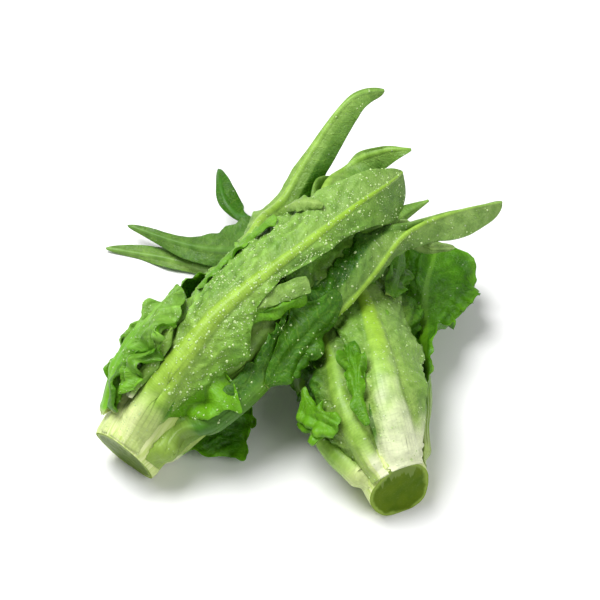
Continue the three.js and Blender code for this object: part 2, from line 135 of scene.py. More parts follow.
UPPER_LEAVES = dict(
    # the short ruffled leaf on the left of the stem
    flank=leaf(
        rib=[[16, -45, 23], [34, -42, 32], [52, -38, 39], [71, -36, 42], [90, -36, 41.5]],
        half=([6, 12, 14, 9, 3], [8, 24, 28, 24, 8]), fold=(4, 0), roll=([0, -10, 0], 20),
        ruffle=[0, 3.5, 4, 3, 1.5], waves=4, phase=0.3, frill=([0, 1.5, 2, 1], [0, 1, 1.3, 1]),
        pleats=[1, 3, 3, 2], crumple=[0.6, 1.2, 1.2, 0.8], ragged=1.5, shade=0.15,
        bloom=[0.2, 0.3, 0.5, 0.6], fresh=[0.8, 0.6, 0.4, 0.35], lime=0, halo=0, pale=0, wet=0.8,
        drops=160, fine=(100, 44), clasps=False,
    ),
    # the dark scrap of leaf that curls out beside the cut stem
    scrap=margin(
        rib=[[16, -9, 29], [18, -15, 34], [23, -22, 38], [29, -26, 40], [36, -26, 41], [45, -16, 41]],
        half=([2, 4, 5, 5, 5, 4], [2, 4, 5, 5, 6, 5]), fold=(-30, 30), roll=(30, 60), rib_height=0.3,
        ruffle=[0, 1.5, 2, 2, 1], waves=2.3, frill=1, crumple=0.5, ragged=3, shade=0.8, fresh=0.3,
        fine=(60, 12), loose=True,
    ),
    # the light crumpled fold between the flank and the front leaf's rib
    tongue=margin(
        rib=[[27, -5, 31], [38, -3, 35.5], [49, -2, 38.5], [59, -2, 41.5], [69, -5, 43]],
        half=([3, 7, 8, 8, 5], [2, 5, 6, 5, 3]), fold=(10, 20), roll=(20, 50), ruffle=[0, 0.8, 1, 0.8],
        waves=2.2, pleats=[0.3, 0.8, 0.8, 0.5], crumple=0.35, ragged=1.5, shade=0, bloom=0.5, fresh=0.1,
        halo=0.3, pale=0.1, wet=1, drops=30, fine=(80, 20),
    ),
    # the broad leaf on top, its rib from the stem to the blunt tip
    front=leaf(
        rib=[
            [20, 16, 24], [57, 16, 34], [93, 14, 40], [128, 19, 42], [164, 26, 41], [200, 34, 33],
            [233, 49, 16],
        ],
        half=(
            [13, 20, 29, 37, 43, 42, 35, 26, 19, 13, 2.5],
            [13, 18, 24, 28, 14, 8.5, 10, 12, 16, 20, 10],
        ),
        fold=([0, 0, 5, 5, 5, 0], [0, 0, 0, 3, 8, 12]),
        roll=([70, 80, 85, 65, 40, 0], [60, 50, 35, 20, 15, 0]),
        rib_width=[13, 9.5, 6.6, 5, 3.7, 2.7, 1.9, 1.4, 1], ruffle=[0, 1, 1.2, 1.5, 1.2, 0.7, 0.4],
        waves=6, phase=0.1, frill=([0, 1.5, 2, 1.5, 0.8, 0.2, 0], [0, 0.5, 0.8, 0.6, 0.4, 0.2, 0]),
        crumple=[0.2, 1, 1.3, 1.3, 0.8, 0.35, 0.15], right_calm=0.55, ragged=[0.5, 0.5, 0.5, 0.1, 0],
        shade=[0.3, 0.15, 0.15, 0.2, 0.2, 0.3], bloom=[0.2, 0.3, 0.4, 0.45, 0.6, 0.65],
        tone=[0.5, 0.2, 0.1, 0.3, 0.5, 0.6], lime=[0.3, 0.7, 0.9, 1, 1, 1, 0.9, 0.7, 0.5],
        halo=[0.5, 0.5, 0.5, 0.4, 0.25, 0.15, 0.1, 0.1, 0.1], pale=0.035,
        wet=[0.3, 0.7, 1, 1, 0.7, 0.3], drops=1800, fine=(220, 40),
    ),
    # the folded-over margin and the small flap on the front leaf
    hem=margin(
        rib=[[96, -30, 35.2], [111, -27, 37.2], [126, -23, 39], [141, -19, 40], [155, -18, 39.6]],
        half=([2, 4, 4.5, 4, 2], [2, 6, 3.5, 8, 3, 7, 3]), fold=(20, 0), roll=(60, 20),
        ruffle=[0.4, 1.5, 1.5, 0.5], waves=3.6, frill=([0, 1.5, 1.5, 0.5], [0.8, 2, 2, 0.8]),
        pleats=1.2, crumple=4, ragged=2.5, shade=0.2, bloom=0.2, fresh=0.45, fine=(90, 14), free=True,
        loose=True,
    ),
    flap=margin(
        rib=[[163, -17, 37.5], [167, -8, 41], [171, 2, 42.6], [175, 12, 42]],
        half=([3, 6, 6, 2], [3, 5, 5, 2]), fold=(15, 25), roll=30, ruffle=0.4, crumple=0.5, shade=0,
        bloom=0.8, halo=0.3, wet=1, fine=(50, 14), free=True, loose=True,
    ),
    # the bright ruffle that hangs out from under the front leaf, over the right leaf's stalk
    ruffle_low=margin(
        rib=[[28, 37, 23], [40, 40, 26.5], [52, 42, 30], [64, 43, 32], [74, 44, 34]],
        half=([3, 4, 4, 4, 3], [6, 15, 21, 28, 15]), fold=(0, -26), roll=(10, 18),
        ruffle=[0, 1.5, 2.2, 2, 1], waves=2.4, phase=0.55,
        frill=([0, 1.5, 1.5, 0.5], [0.3, 0.8, 1, 0.8]), crumple=0.15, ragged=2, shade=0.1,
        fresh=[0.9, 0.9, 0.7], wet=0.5, drops=60, fine=(90, 26),
    ),
    # the folds that show between the front and the right leaf
    facet=margin(
        rib=[[106, 33, 40], [116, 36, 41], [127, 40, 41.5], [138, 47, 41]],
        half=([3, 5, 5, 4], [1, 4, 6, 6]), fold=0, roll=(20, 10), ruffle=0.4, crumple=0.5, shade=0,
        bloom=0.7, halo=0.1, wet=1, drops=20, fine=(60, 14),
    ),
    fold_high=margin(
        rib=[[95, 32, 41], [105, 39, 42.5], [116, 45, 42.5], [126, 50, 41.5], [133, 52, 41]],
        half=([5, 8, 7, 5, 5], [5, 6, 7, 8, 8]), fold=(15, 35), roll=(30, 20),
        ruffle=[0.5, 1.5, 1.5, 1], waves=2, frill=0.8, pleats=[0.3, 1, 1, 0.8], crumple=1, ragged=2.5,
        shade=0.3, fresh=0.6, fine=(60, 16),
    ),
    ruffle_mid=margin(
        rib=[[83, 83, 46], [95, 81, 45], [108, 79, 43.5], [122, 78, 43], [136, 76, 43], [148, 74, 42]],
        half=([1, 7, 11, 12, 9, 4], [3, 12, 14, 12, 10, 5]), fold=(20, [-45, -40, -30, -10]),
        roll=(20, 30), ruffle=[1, 1.5, 2, 1.5, 0.5], waves=3, phase=0.3,
        frill=([1, 0.8, 0.4, 0], [1, 1.2, 1, 0.5]), pleats=[0.6, 1, 0.8, 0.2], crumple=0.9, ragged=2,
        shade=0.9, fresh=0.2, drops=30, fine=(120, 26),
    ),
    # the long leaf along the right side, twisted at its free end
    right=leaf(
        rib=[
            [14, 78, 25], [46, 85, 38], [80, 87, 43], [109, 88, 44], [140, 89, 44], [172, 88, 43],
            [204, 84, 41], [234, 89, 50], [262, 96, 64],
        ],
        lean=[0, 0, -5, -10, -18, -32, -38, -30],
        half=(
            [10, 13, 17, 22, 24, 25, 24, 6, 1.5, 2],
            [10, 15.5, 17.6, 18, 18, 17.5, 15, 12, 12.5, 15.5, 8],
        ),
        fold=([0, 0, 0, 0, 5, 15, 50, 80], [10, 20, 40, 60, 70, 40, 10, 0, 0]),
        roll=([30, 35, 45, 45, 40, 10, 0], [40, 40, 30, 20, 0]),
        bend=([0, 0, 0, 10, 20, 30, 20, 0, 0], 0), rib_width=[13, 11, 7.5, 4, 2.6, 2, 1.5, 1],
        ruffle=[0, 2, 3, 2, 1, 0.3], waves=6, phase=0.2,
        frill=([0, 1, 1.5, 1.2, 0.5, 0.2, 0.1], [0, 1, 1, 0.5, 0.2, 0.1]),
        crumple=[0.2, 0.7, 0.9, 0.8, 0.4, 0.2], shade=[0.8, 1, 1, 0.6, 0.5, 0.5, 0.5],
        bloom=[0.1, 0, 0, 0.35, 0.7, 0.9], tone=[0, 0, 0, 0, 0.3, 0.5, 0, -0.2],
        lime=[0, 0.2, 0.35, 0.6, 0.8, 0.8, 0.5, 0.3], halo=[0, 0.05, 0.1, 0.15, 0.2, 0.15, 0],
        pale=0.05, wet=[0.1, 0.3, 0.8, 0.8, 0.2], drops=350, fine=(210, 32),
    ),
    # the dark toothed leaf that sticks out under the right side
    under=leaf(
        rib=[[16, 145, 24], [35, 146, 30], [52, 148, 33], [68, 150, 34], [84, 150, 33]],
        half=([5, 9, 24, 27, 22, 9, 3], [8, 18, 22, 18, 6]), fold=([0, -40, -50, -50], 0),
        roll=(-5, 40), ruffle=[0, 2.5, 3.5, 3.5, 1], waves=4, phase=0.15,
        frill=([0, 1.5, 2.5, 1], [0, 1.5, 1.5, 0.5]), ragged=2.5, shade=0, bloom=0, fresh=1, lime=0.1,
        pale=0.05, fine=(80, 30),
    ),
    # the leaf between the front and the right leaf
    behind=leaf(
        rib=[
            [22, 50, 25], [60, 63, 31], [94, 63, 32], [128, 73, 32], [163, 80, 31], [198, 93, 29],
            [233, 92, 32],
        ],
        half=([8, 18, 20, 24, 24, 14, 1.5], [8, 16, 14, 12, 12, 10, 1.5]), fold=([0, 0, 0, 5, 10], 4),
        roll=40, rib_width=[11, 10, 9, 7, 4, 2.2, 1.2], ruffle=[0, 3, 3, 2, 1, 0.5], waves=6, phase=0.7,
        frill=([0, 1.5, 1.5, 0.5], [0, 2, 2.5, 1, 0.5]), crumple=[0.2, 0.5, 0.9, 0.8, 0.3],
        ragged=[1, 2, 1.5, 0.5, 0], shade=[0.7, 0.6, 0.6, 0.4], bloom=[0.1, 0.1, 0.1, 0.4],
        lime=[0.2, 0.2, 0.2, 0.2, 0.4, 0.3], pale=0.02, drops=120, fine=(170, 28),
    ),
    # the leaf whose long tip stands highest in the picture
    left=leaf(
        rib=[
            [20, -22, 24], [51, -24, 32], [83, -29, 34], [116, -34, 35], [148, -48, 34],
            [175, -81, 35], [206, -70, 41], [244, -52, 48.5], [265, -52, 39],
        ],
        lean=[0, 0, 0, 5, 34, 86, 80, 82, 98],
        half=([8, 13, 14, 14, 12, 10, 9, 6, 2.5, 2.5, 2], [8, 16, 20, 22, 22, 20, 18, 14, 10, 3]),
        fold=([0, 0, 10, 20, 15, 10, 30], [0, 0, 5, 5, 0, 0]),
        roll=([50, 50, 50, 30, 20, 10], [40, 40, 40, 50, 50, 25, 5]),
        bend=(0, [0, 0, 0, 0, 10, 30, 30, 10, 0, 0]), bend_at=0.42, ruffle=[0, 2, 2, 1, 0.6, 0.3],
        phase=0.45, frill=[0, 1.5, 1.5, 0.3, 0, 0], crumple=[0.2, 1, 1, 0.5, 0.25, 0.2],
        shade=[0.3, 0.3, 0.35, 0.45], bloom=[0.3, 0.4, 0.5, 0.5], tone=[0, 0, 0, 0.2, 0.4, 0.2, 0],
        lime=[0.3, 0.6, 0.7, 0.6, 0.45, 0.3, 0.15], wet=[0.3, 0.6, 0.8, 0.6, 0.3], drops=200,
        fine=(200, 28),
    ),
    # the inner leaf whose tip shows beyond the front leaf
    far=leaf(
        rib=[
            [50, 10, 22], [94, -5, 24], [139, -11, 24], [182, -20, 20], [216, -81, 22],
            [235, -40, 14], [249, 24, 11],
        ],
        lean=[0, 0, 0, 10, 75, 80, 0], half=([8, 14, 14, 8, 5, 3, 1.5], [8, 14, 16, 17, 16, 11, 1.5]),
        fold=(15, 0), roll=(10, 0), waves=4, frill=(0, 0.2), crumple=0.3, shade=0.45, bloom=0.4,
        lime=[0.3, 0.4, 0.4, 0.3], fine=(130, 20),
    ),
    # the grey-green leaf whose end shows under the right leaf's tip
    tail=leaf(
        rib=[
            [26, 112, 25], [70, 112, 34], [109, 107, 34], [150, 102, 35], [190, 101, 39],
            [224, 105, 61],
        ],
        half=([8, 16, 16, 14, 12, 9, 3], [8, 16, 16, 14, 12, 8, 3]), roll=[30, 10], crumple=0.4,
        shade=0.6, bloom=1, fine=(110, 18),
    ),
    back=leaf(
        rib=[
            [16, -125, 24], [52, -122, 34], [93, -118, 38], [135, -114, 34], [176, -108, 29],
            [215, -100, 22],
        ],
        half=[8, 20, 26, 24, 14, 3], ruffle=[0, 2, 3, 3, 1], phase=0.6, fine=(100, 20),
    ),
    belly=leaf(
        rib=[
            [22, 195, 24], [59, 192, 30], [99, 187, 31], [138, 183, 28], [177, 177, 22],
            [215, 165, 16],
        ],
        half=[8, 20, 26, 22, 12, 3], roll=60, ruffle=[0, 2, 3, 3, 1], phase=0.35, fine=(100, 20),
    ),
    heart_left=leaf(
        rib=[[46, -50, 18], [100, -60, 22], [155, -69, 20], [210, -80, 14]], half=[6, 16, 20, 16, 2],
        roll=60, fine=(70, 14),
    ),
    heart_right=leaf(
        rib=[[46, 90, 18], [100, 85, 22], [155, 80, 20], [210, 75, 16]], half=[6, 16, 20, 16, 2],
        roll=60, phase=0.5, fine=(70, 14),
    ),
)

LOWER_LEAVES = dict(
    # the bright ruffle beside the pale rib
    ruffle_bright=margin(
        rib=[[74, -15, 36], [63, -14, 38], [50, -13, 38.5], [40, -16, 37.5], [28, -19, 34]],
        half=([3, 6, 6, 4, 2], [3, 6, 6, 5, 2]), fold=0, roll=30, ruffle=[2, 3.5, 3.5, 2, 0.5],
        waves=3.4, frill=[1, 2, 1.6, 0.8], pleats=[1, 2.4, 2.2, 1], crumple=3, ragged=2.5, shade=0.7,
        fresh=[0.1, 0.5, 0.7, 0.5], fine=(80, 18), free=True, loose=True,
    ),
    # the dark ruffles between the pale leaf and the flopped-open one
    ruffle_far=margin(
        rib=[[110, 36, 34], [119, 43, 37], [129, 53, 38], [143, 63, 44], [162, 73, 52]],
        half=([4, 7, 9, 13, 14], [4, 7, 9, 12, 15]), fold=0, roll=20, ruffle=[1, 2, 2.5, 2, 1],
        waves=2.7, phase=0.2, frill=[0.8, 1.5, 1.5, 0.8], pleats=[0.5, 1.5, 1.5, 0.5], crumple=0.7,
        ragged=2, shade=0.8, fresh=0.35, fine=(90, 24),
    ),
    # the pale broad rib that runs up from the cut stem
    front=leaf(
        rib=[[13, 12, 21], [41, 13, 34], [73, 13, 34], [106, 7, 31], [139, 3, 27], [171, 15, 22]],
        half=([13, 17, 20, 22, 14, 6], [18, 27, 32, 32, 22, 10]), fold=0,
        roll=([60, 50, 40, 30], [25, 30, 50, 65, 60]), rib_width=[12.5, 10, 7.4, 5, 2.6, 1.5],
        rib_height=[4.5, 4, 3, 2, 1], ruffle=[0, 0.7, 1.2, 2.5, 2], phase=0.6,
        frill=([0, 1.5, 1.5, 0.5], [0, 0.4, 0.8, 1]), crumple=[0.1, 0.5, 0.7, 0.9, 1.2], right_calm=0.6,
        ragged=0.8, shade=[0, 0, 0, 0.2], bloom=[0.6, 0.6, 0.5, 0.45], tone=[0, -0.1, -0.6, -0.4, -0.1],
        lime=[0, 0, 0.7, 1, 1, 0.8], halo=[0.9, 0.6, 0.2, 0.1, 0], pale=0.12, wet=[0.3, 0.8, 1],
        drops=400, fine=(170, 38),
    ),
    # the bright lobe that hangs over the left stalk
    lobe=margin(
        rib=[[56, -66, 42], [45, -60, 41], [38.5, -51, 39], [33, -42, 37]],
        half=([3, 5, 6, 3], [4, 12, 15, 13, 5]), fold=(10, 0), roll=(60, 40), ruffle=[1, 3, 3.5, 2],
        waves=2.3, phase=0.2, frill=([0, 1.5, 1.5, 0.5], 1), pleats=[1, 3, 3, 1.5], crumple=1.8,
        ragged=2.5, fresh=0.65, fine=(70, 20), free=True,
    ),
    left=leaf(
        rib=[[13, -42, 21], [40, -36, 32], [70, -38, 33], [107, -51, 32], [150, -72, 29]],
        half=([8, 22, 29, 25, 9], [8, 16, 18, 16, 8]), fold=([0, -10, -10, 0], 0),
        roll=([40, 60, 60, 40], 30), rib_width=[9, 6, 4, 2.6, 1.6], rib_height=[2.5, 1.3, 1, 0.7, 0.4],
        ruffle=[0, 2, 3, 3, 1], phase=0.2, frill=([0, 2, 2.5, 1], [0, 1.5, 1.5, 0.5]), ragged=1.5,
        shade=[0.3, 0.5, 0.9, 0.8], bloom=0.05, tone=-1, lime=[0.3, 0.4, 0.5, 0.4],
        halo=[0.9, 0.5, 0.1, 0], pale=0.05, wet=0.7, drops=150, fine=(140, 32),
    ),
    ruffled=leaf(
        rib=[[13, -84, 21], [37, -86, 31], [63, -86, 38], [97, -86, 41], [135, -88, 33]],
        half=([4, 8, 18, 24, 10], [8, 18, 22, 20, 8]), fold=0, roll=(40, 30), ruffle=[0, 2, 5, 5, 2],
        waves=4, phase=0.5, frill=([0, 2.5, 3, 1], [0, 1.5, 1.5, 0.5]), ragged=2,
        shade=[0.35, 0.4, 0.8], bloom=0.05, lime=0.3, halo=[0.6, 0.3, 0.1], pale=0.05, wet=0.5,
        fine=(120, 32),
    ),
    # the dark leaf that has flopped open on the right and shows its inner face
    right=leaf(
        rib=[[14, 84, 22], [51, 90, 33], [86, 88, 37], [114, 92, 42], [135, 87, 52], [151, 84, 71]],
        lean=[0, 2, 20, 72, 85, 100], half=([8, 11, 8, 9, 18, 29, 31, 19], [8, 14, 16, 18, 18, 12]),
        fold=0, roll=([20, -10, -25], [20, -10, -30]), ruffle=[0, 3, 4, 4, 3], waves=4, phase=0.85,
        frill=([0, 1.5, 2, 2], [0, 1.5, 1.5, 0.5]), ragged=1.5, shade=0.6, bloom=0, lime=0.35, pale=0.1,
        fine=(150, 34),
    ),
    crook=leaf(
        rib=[[46, 50, 25], [85, 55, 29], [120, 58, 33], [150, 55, 35]],
        half=([6, 14, 18, 10], [6, 14, 20, 12]), roll=(30, -10), ruffle=[0, 4, 5, 5], waves=4,
        phase=0.4, ragged=2, shade=0.6, bloom=0, lime=0.5, fine=(90, 22),
    ),
    side=leaf(
        rib=[[16, 125, 21], [75, 119, 33], [118, 114, 31], [156, 109, 27], [195, 105, 24]],
        half=[8, 18, 24, 22, 14, 3], ruffle=[0, 2, 3, 3, 1], phase=0.25, fine=(90, 20),
    ),
    belly=leaf(
        rib=[[16, 180, 21], [65, 180, 29], [110, 180, 31], [155, 180, 29], [200, 180, 23]],
        half=[8, 20, 28, 24, 14, 3], ruffle=[0, 2, 3, 3, 1], phase=0.55, fine=(90, 20),
    ),
    # the two long leaves that lie to the left, and the twisted tip behind them
    long_high=leaf(
        rib=[[105, -30, 24], [157, -20, 26], [206, -59, 24], [257, -79, 23], [306, -71, 22]],
        lean=[0, 0, 15, 56, 47], half=([8, 14, 15, 9, 1.2], [8, 18, 24, 9, 1.2]), fold=(20, 5),
        roll=(0, 10), waves=3, frill=([0, 1, 0.5, 0], [0, 1, 1, 0]), crumple=[0.2, 1, 0.5, 0.2],
        shade=0.8, bloom=0.2, lime=0.1, halo=0.1, fine=(130, 18),
    ),
    long_low=leaf(
        rib=[
            [110, -112, 26], [156, -106, 29], [204, -106, 28], [245, -106, 28], [280, -100, 30],
            [315, -91, 37],
        ],
        lean=[0, 0, 45, 76, 75, 66], half=([8, 14, 10, 6, 5, 1.2], [8, 14, 15, 13, 9, 1.2]),
        fold=(20, 5), roll=(0, 10), waves=3, frill=([0, 1, 0.5, 0], [0, 1, 1, 0]),
        crumple=[0.2, 1, 0.5, 0.2], shade=0.55, bloom=0.35, lime=0.1, fine=(130, 18),
    ),
    back_tip=leaf(
        rib=[
            [105, 50, 24], [140, 49, 23], [174, 55, 24], [200, 8, 9], [229, 2, 14], [246, 27, 18],
            [268, 65, 40],
        ],
        lean=[0, 0, -30, -55, -40, -17, -55],
        half=([8, 14, 14, 6, 3, 5, 1.2], [8, 14, 14, 6, 3, 10, 1.5]), fold=0, roll=(0, 10), waves=3,
        frill=(0, 0.3), crumple=0.4, shade=0.9, bloom=0, lime=0.1, halo=0, fine=(110, 16),
    ),
    heart=leaf(
        rib=[[50, 0, 18], [99, 0, 20], [150, 0, 19], [200, 0, 14]], half=[6, 16, 20, 2], roll=70,
        fine=(60, 12),
    ),
)


def along(values, t):
    """The values at shares t of the way through a list of evenly spaced ones."""
    values = np.atleast_1d(np.asarray(values, float))
    last = len(values) - 1
    if last == 0:
        return np.full(np.shape(t), values[0])
    x = np.clip(t, 0, 1) * last
    i = np.minimum(np.floor(x), last - 1).astype(int)
    f = x - i
    if values.ndim > 1:
        f = f[..., None]
    a, b, c, d = (values[np.clip(i + k, 0, last)] for k in (-1, 0, 1, 2))
    bend = (2 * a - 5 * b + 4 * c - d) * f + (3 * b - a - 3 * c + d) * f * f
    return 0.5 * (2 * b + (c - a) * f + bend * f)


def smooth(x, low, high):
    f = np.clip((x - low) / (high - low), 0, 1)
    return f * f * (3 - 2 * f)


def unit(v):
    return v / np.maximum(np.linalg.norm(v, axis=-1, keepdims=True), 1e-9)


def dot(a, b):
    return (a * b).sum(-1, keepdims=True)


def noise(x, y, seed):
    """Smooth noise, about -1 to 1, with cells one unit wide."""
    cells = 64
    turned = np.random.default_rng(seed).uniform(0, TURN, (cells, cells))
    i, j = np.floor(x).astype(int), np.floor(y).astype(int)
    f, g = x - i, y - j

    def corner(a, b):
        angle = turned[(i + a) % cells, (j + b) % cells]
        return np.cos(angle) * (f - a) + np.sin(angle) * (g - b)

    u, v = smooth(f, 0, 1), smooth(g, 0, 1)
    low = corner(0, 0) * (1 - u) + corner(1, 0) * u
    high = corner(0, 1) * (1 - u) + corner(1, 1) * u
    return 1.5 * (low * (1 - v) + high * v)


class Head:
    """A head's axis, which places points by distance along it, degrees round it and out from it."""

    def __init__(self, axis, stem):
        self.points = along(axis, np.linspace(0, 1, AXIS_STEPS + 1)) + TO_BUNCH
        steps = np.diff(self.points, axis=0)
        sizes = np.linalg.norm(steps, axis=1)
        self.lengths = np.concatenate([[0], np.cumsum(sizes)])
        self.forwards = steps / sizes[:, None]
        self.rings = np.array(stem["rings"], float)
        self.slope = stem["slope"]

    def frame(self, distance):
        i = np.clip(np.searchsorted(self.lengths, distance, side="right"), 1, AXIS_STEPS)
        share = (distance - self.lengths[i - 1]) / (self.lengths[i] - self.lengths[i - 1])
        step = self.points[i] - self.points[i - 1]
        centre = self.points[i - 1] + share[..., None] * step
        halfway = (self.lengths[:-1] + self.lengths[1:]) / 2
        forward = np.stack([np.interp(distance, halfway, f) for f in self.forwards.T], -1)
        forward = unit(forward)
        top = unit(np.array([0.0, 0.0, 1.0]) - forward * forward[..., 2:])
        return centre, forward, top, np.cross(forward, top)

    def place(self, distance, round_, out):
        centre, _, top, side = self.frame(distance)
        angle = np.radians(round_)[..., None]
        return centre + out[..., None] * (top * np.cos(angle) + side * np.sin(angle))

    def radius(self, distance):
        return np.interp(distance, self.rings[:, 0], self.rings[:, 1])


upper_head = Head(UPPER_AXIS, UPPER_STEM)
lower_head = Head(LOWER_AXIS, LOWER_STEM)


def wave_at(shape, t, side):
    shift = RIGHT_WAVE_SHIFT * side
    long_ = np.sin(TURN * (shape["waves"] * t + shape["phase"] + shift))
    turns = SHORT_WAVE["turns"] * shape["waves"] * t + SHORT_WAVE["phase"] + shift / 2
    return long_ + SHORT_WAVE["height"] * np.sin(TURN * turns)


class Sheet:
    """A leaf's middle layer as a grid of points, from its root to its tip and margin to margin."""

    ROOT_ROWS = 10  # beyond the solid's root: the leaf's base, which clasps the stem
    ROOT_END = 4.0  # how near the cut end the base reaches
    ROOT_CLEAR = 0.1  # how far its middle stands off the stem
    ROOT_REACH = 30  # a leaf whose solid starts further up has no base
    RIB_LEAST = 0.9  # the least half width of a rib

    def __init__(self, name, head, shape, seed):
        self.name, self.head, self.shape, self.seed = name, head, shape, seed
        rows, strips = shape["fine"]
        first = shape["rib"][0][0]
        clasps = first < self.ROOT_REACH and shape["clasps"]
        root = np.linspace(-1, 0, self.ROOT_ROWS, endpoint=False) if clasps else []
        self.t = np.concatenate([root, np.linspace(0, 1, rows + 1)])
        self.root = smooth(-self.t, 0, 1)

        start = along(shape["rib"], np.array([0, 0.02]))
        slope = (start[1, 2] - start[0, 2]) / (start[1, 0] - start[0, 0])

        def rib_at(t):
            rib = along(shape["rib"], np.clip(t, 0, 1))
            back = np.maximum(-t, 0) * (first - self.ROOT_END)
            rib[:, 0] -= back
            on_stem = head.radius(rib[:, 0]) + self.ROOT_CLEAR
            rib[:, 2] -= slope * back
            rib[:, 2] += (on_stem - rib[:, 2]) * smooth(-t, -0.02, 0.8)
            return rib

        distance, round_, out = rib_at(self.t).T
        middle = head.place(distance, round_, out)
        step = 0.01
        ahead = head.place(*rib_at(np.minimum(self.t + step, 1)).T)
        forward = unit(ahead - head.place(*rib_at(self.t - step * (self.t > -1 + step)).T))
        outward = middle - head.frame(distance)[0]
        outward = unit(outward - dot(outward, forward) * forward)
        lean = np.radians(self.value("lean"))
        outward = outward * np.cos(lean) + np.cross(forward, outward) * np.sin(lean)
        rightward = np.cross(forward, outward)

        self.y = np.concatenate([[0], np.cumsum(np.linalg.norm(np.diff(middle, axis=0), axis=1))])
        halves = [
            self.half(side, strips, middle, outward, rightward, distance) for side in (0, 1)
        ]
        self.points, self.share, self.across = (
            np.concatenate([left[:, :0:-1], right], axis=1) for left, right in zip(*halves)
        )
        self.points[..., 2] = np.maximum(self.points[..., 2], PRESSED_LOW)

    def value(self, key, side=None):
        """A value of the leaf's shape, or of one half of it, row by row in a column."""
        values = self.shape[key] if side is None else self.shape[key][side]
        return along(values, self.t)[:, None]

    def rib_width(self):
        return np.maximum(self.value("rib_width"), self.RIB_LEAST)

    def half(self, side, strips, middle, outward, rightward, distance):
        """The left half of the blade, side 0, or the right one, side 1."""
        shape, t, y = self.shape, self.t, self.y
        sign, seed = 2 * side - 1, self.seed + 7 * side
        swing = np.sin(TURN * (WANDER["turns"] * t + WANDER["phases"][side] + shape["phase"]))
        width = np.maximum(along(shape["half"][side], t), LEAST_HALF) * (1 + WANDER["share"] * swing)
        lobes = sum(deep * noise(y / wide, row, seed) for deep, wide, row in LOBES)
        width = width * (1 + lobes * smooth(t, 0.05, 0.2) * along(shape["ragged"], t))
        width = width * (1 - BASE_NARROWER * self.root)
        at_tip = np.clip((t - 1 + TIP_ROUND) / TIP_ROUND, 0, 1)
        width = width * np.sqrt(1 - TIP_NARROWER * at_tip**2)
        s = np.linspace(0, 1, strips + 1)[None, :]
        root = self.root[:, None]
        fold, roll, bend = (np.radians(self.value(key, side)) for key in ("fold", "roll", "bend"))
        stem_roll = (width / self.head.radius(distance))[:, None]
        roll = roll + (stem_roll - roll) * root
        at = shape["bend_at"]
        turned = fold * (1 - root) + roll * s + bend * smooth(s, at - BEND_SOFT, at + BEND_SOFT)
        between = (turned[:, 1:] + turned[:, :-1]) / 2
        size = width[:, None] / strips
        start = np.zeros((len(t), 1))
        across = np.concatenate([start, np.cumsum(np.cos(between) * size, axis=1)], axis=1)
        inward = np.concatenate([start, np.cumsum(np.sin(between) * size, axis=1)], axis=1)

        flat = s * width[:, None]
        reach = y[:, None] + FRILL["slant"] * flat
        beyond_root = (t > 0)[:, None]
        ruffle = self.value("ruffle") * wave_at(shape, t, side)[:, None] * beyond_root
        frill = np.sin(TURN * (reach / FRILL["long"] + 0.6 * noise(reach / 17, flat / 30, seed + 1)))
        frill = frill + 0.6 * noise(reach / 4.5, flat / 9, seed + 2)
        slim = np.minimum(width / FRILL["slim"], 1)[:, None]
        frill_size = slim * (self.value("frill", side) * beyond_root)
        lift = ruffle * s**RUFFLE_GROWTH + frill_size * frill * s ** FRILL["growth"]
        drift = PLEAT["wander"] * noise(reach / 26, flat / 14, seed + 6)
        pleat = np.sin(TURN * (flat / PLEAT["long"] + drift))
        pleats = self.value("pleats") * beyond_root
        lift = lift + slim * pleats * pleat * smooth(s, 0, PLEAT["start"])

        turned, outward, rightward = turned[..., None], outward[:, None], rightward[:, None]
        normal = np.cos(turned) * outward + sign * np.sin(turned) * rightward
        points = middle[:, None] + sign * across[..., None] * rightward
        points = points - inward[..., None] * outward + lift[..., None] * normal
        return points, np.broadcast_to(s, flat.shape), sign * flat

    def facing(self):
        """Unit normals of the grid as it lies now, towards the outer face."""
        return unit(np.cross(np.gradient(self.points, axis=1), np.gradient(self.points, axis=0)))

    def rise(self):
        """How far the rib stands out from the blade, at each point."""
        height = self.value("rib_height") * (1 - self.root)[:, None]
        height = height * (1 - 0.55 * smooth(self.t, 0.2, 0.7))[:, None]
        x = np.abs(self.across) / self.rib_width()
        groove = 0.12 * height * np.exp(-(((x - 1.15) / 0.25) ** 2))
        return height * (1 - np.clip(x, 0, 1) ** 2) ** 1.2 - groove

    def coarse(self):
        rows = np.unique(np.round(np.linspace(0, len(self.t) - 1, len(self.t) // 3)).astype(int))
        count = self.points.shape[1]
        columns = np.unique(np.round(np.linspace(0, count - 1, count // 2 | 1)).astype(int))
        return rows, columns

    def tree(self):
        rows, columns = self.coarse()
        points = self.points[np.ix_(rows, columns)]
        count = len(columns)
        cells = [
            (a, a + 1, a + count + 1, a + count)
            for i in range(len(rows) - 1)
            for a in range(i * count, i * count + count - 1)
        ]
        return BVHTree.FromPolygons(points.reshape(-1, 3).tolist(), cells)

    def box(self, margin):
        flat = self.points.reshape(-1, 3)
        return flat.min(0) - margin, flat.max(0) + margin


def blurred(field):
    for axis in (0, 1):
        pad = [(1, 1) if a == axis else (0, 0) for a in range(field.ndim)]
        wide = np.pad(field, pad, mode="edge")
        parts = [np.take(wide, range(k, k + field.shape[axis]), axis=axis) for k in (0, 1, 2)]
        field = (parts[0] + 2 * parts[1] + parts[2]) / 4
    return field


def spread(field, rows, columns, shape):
    """A coarse grid's values on the fine grid that it was picked from."""
    for axis, picked in enumerate((rows, columns)):
        fine = range(shape[axis])
        field = np.apply_along_axis(lambda values: np.interp(fine, picked, values), axis, field)
    return field


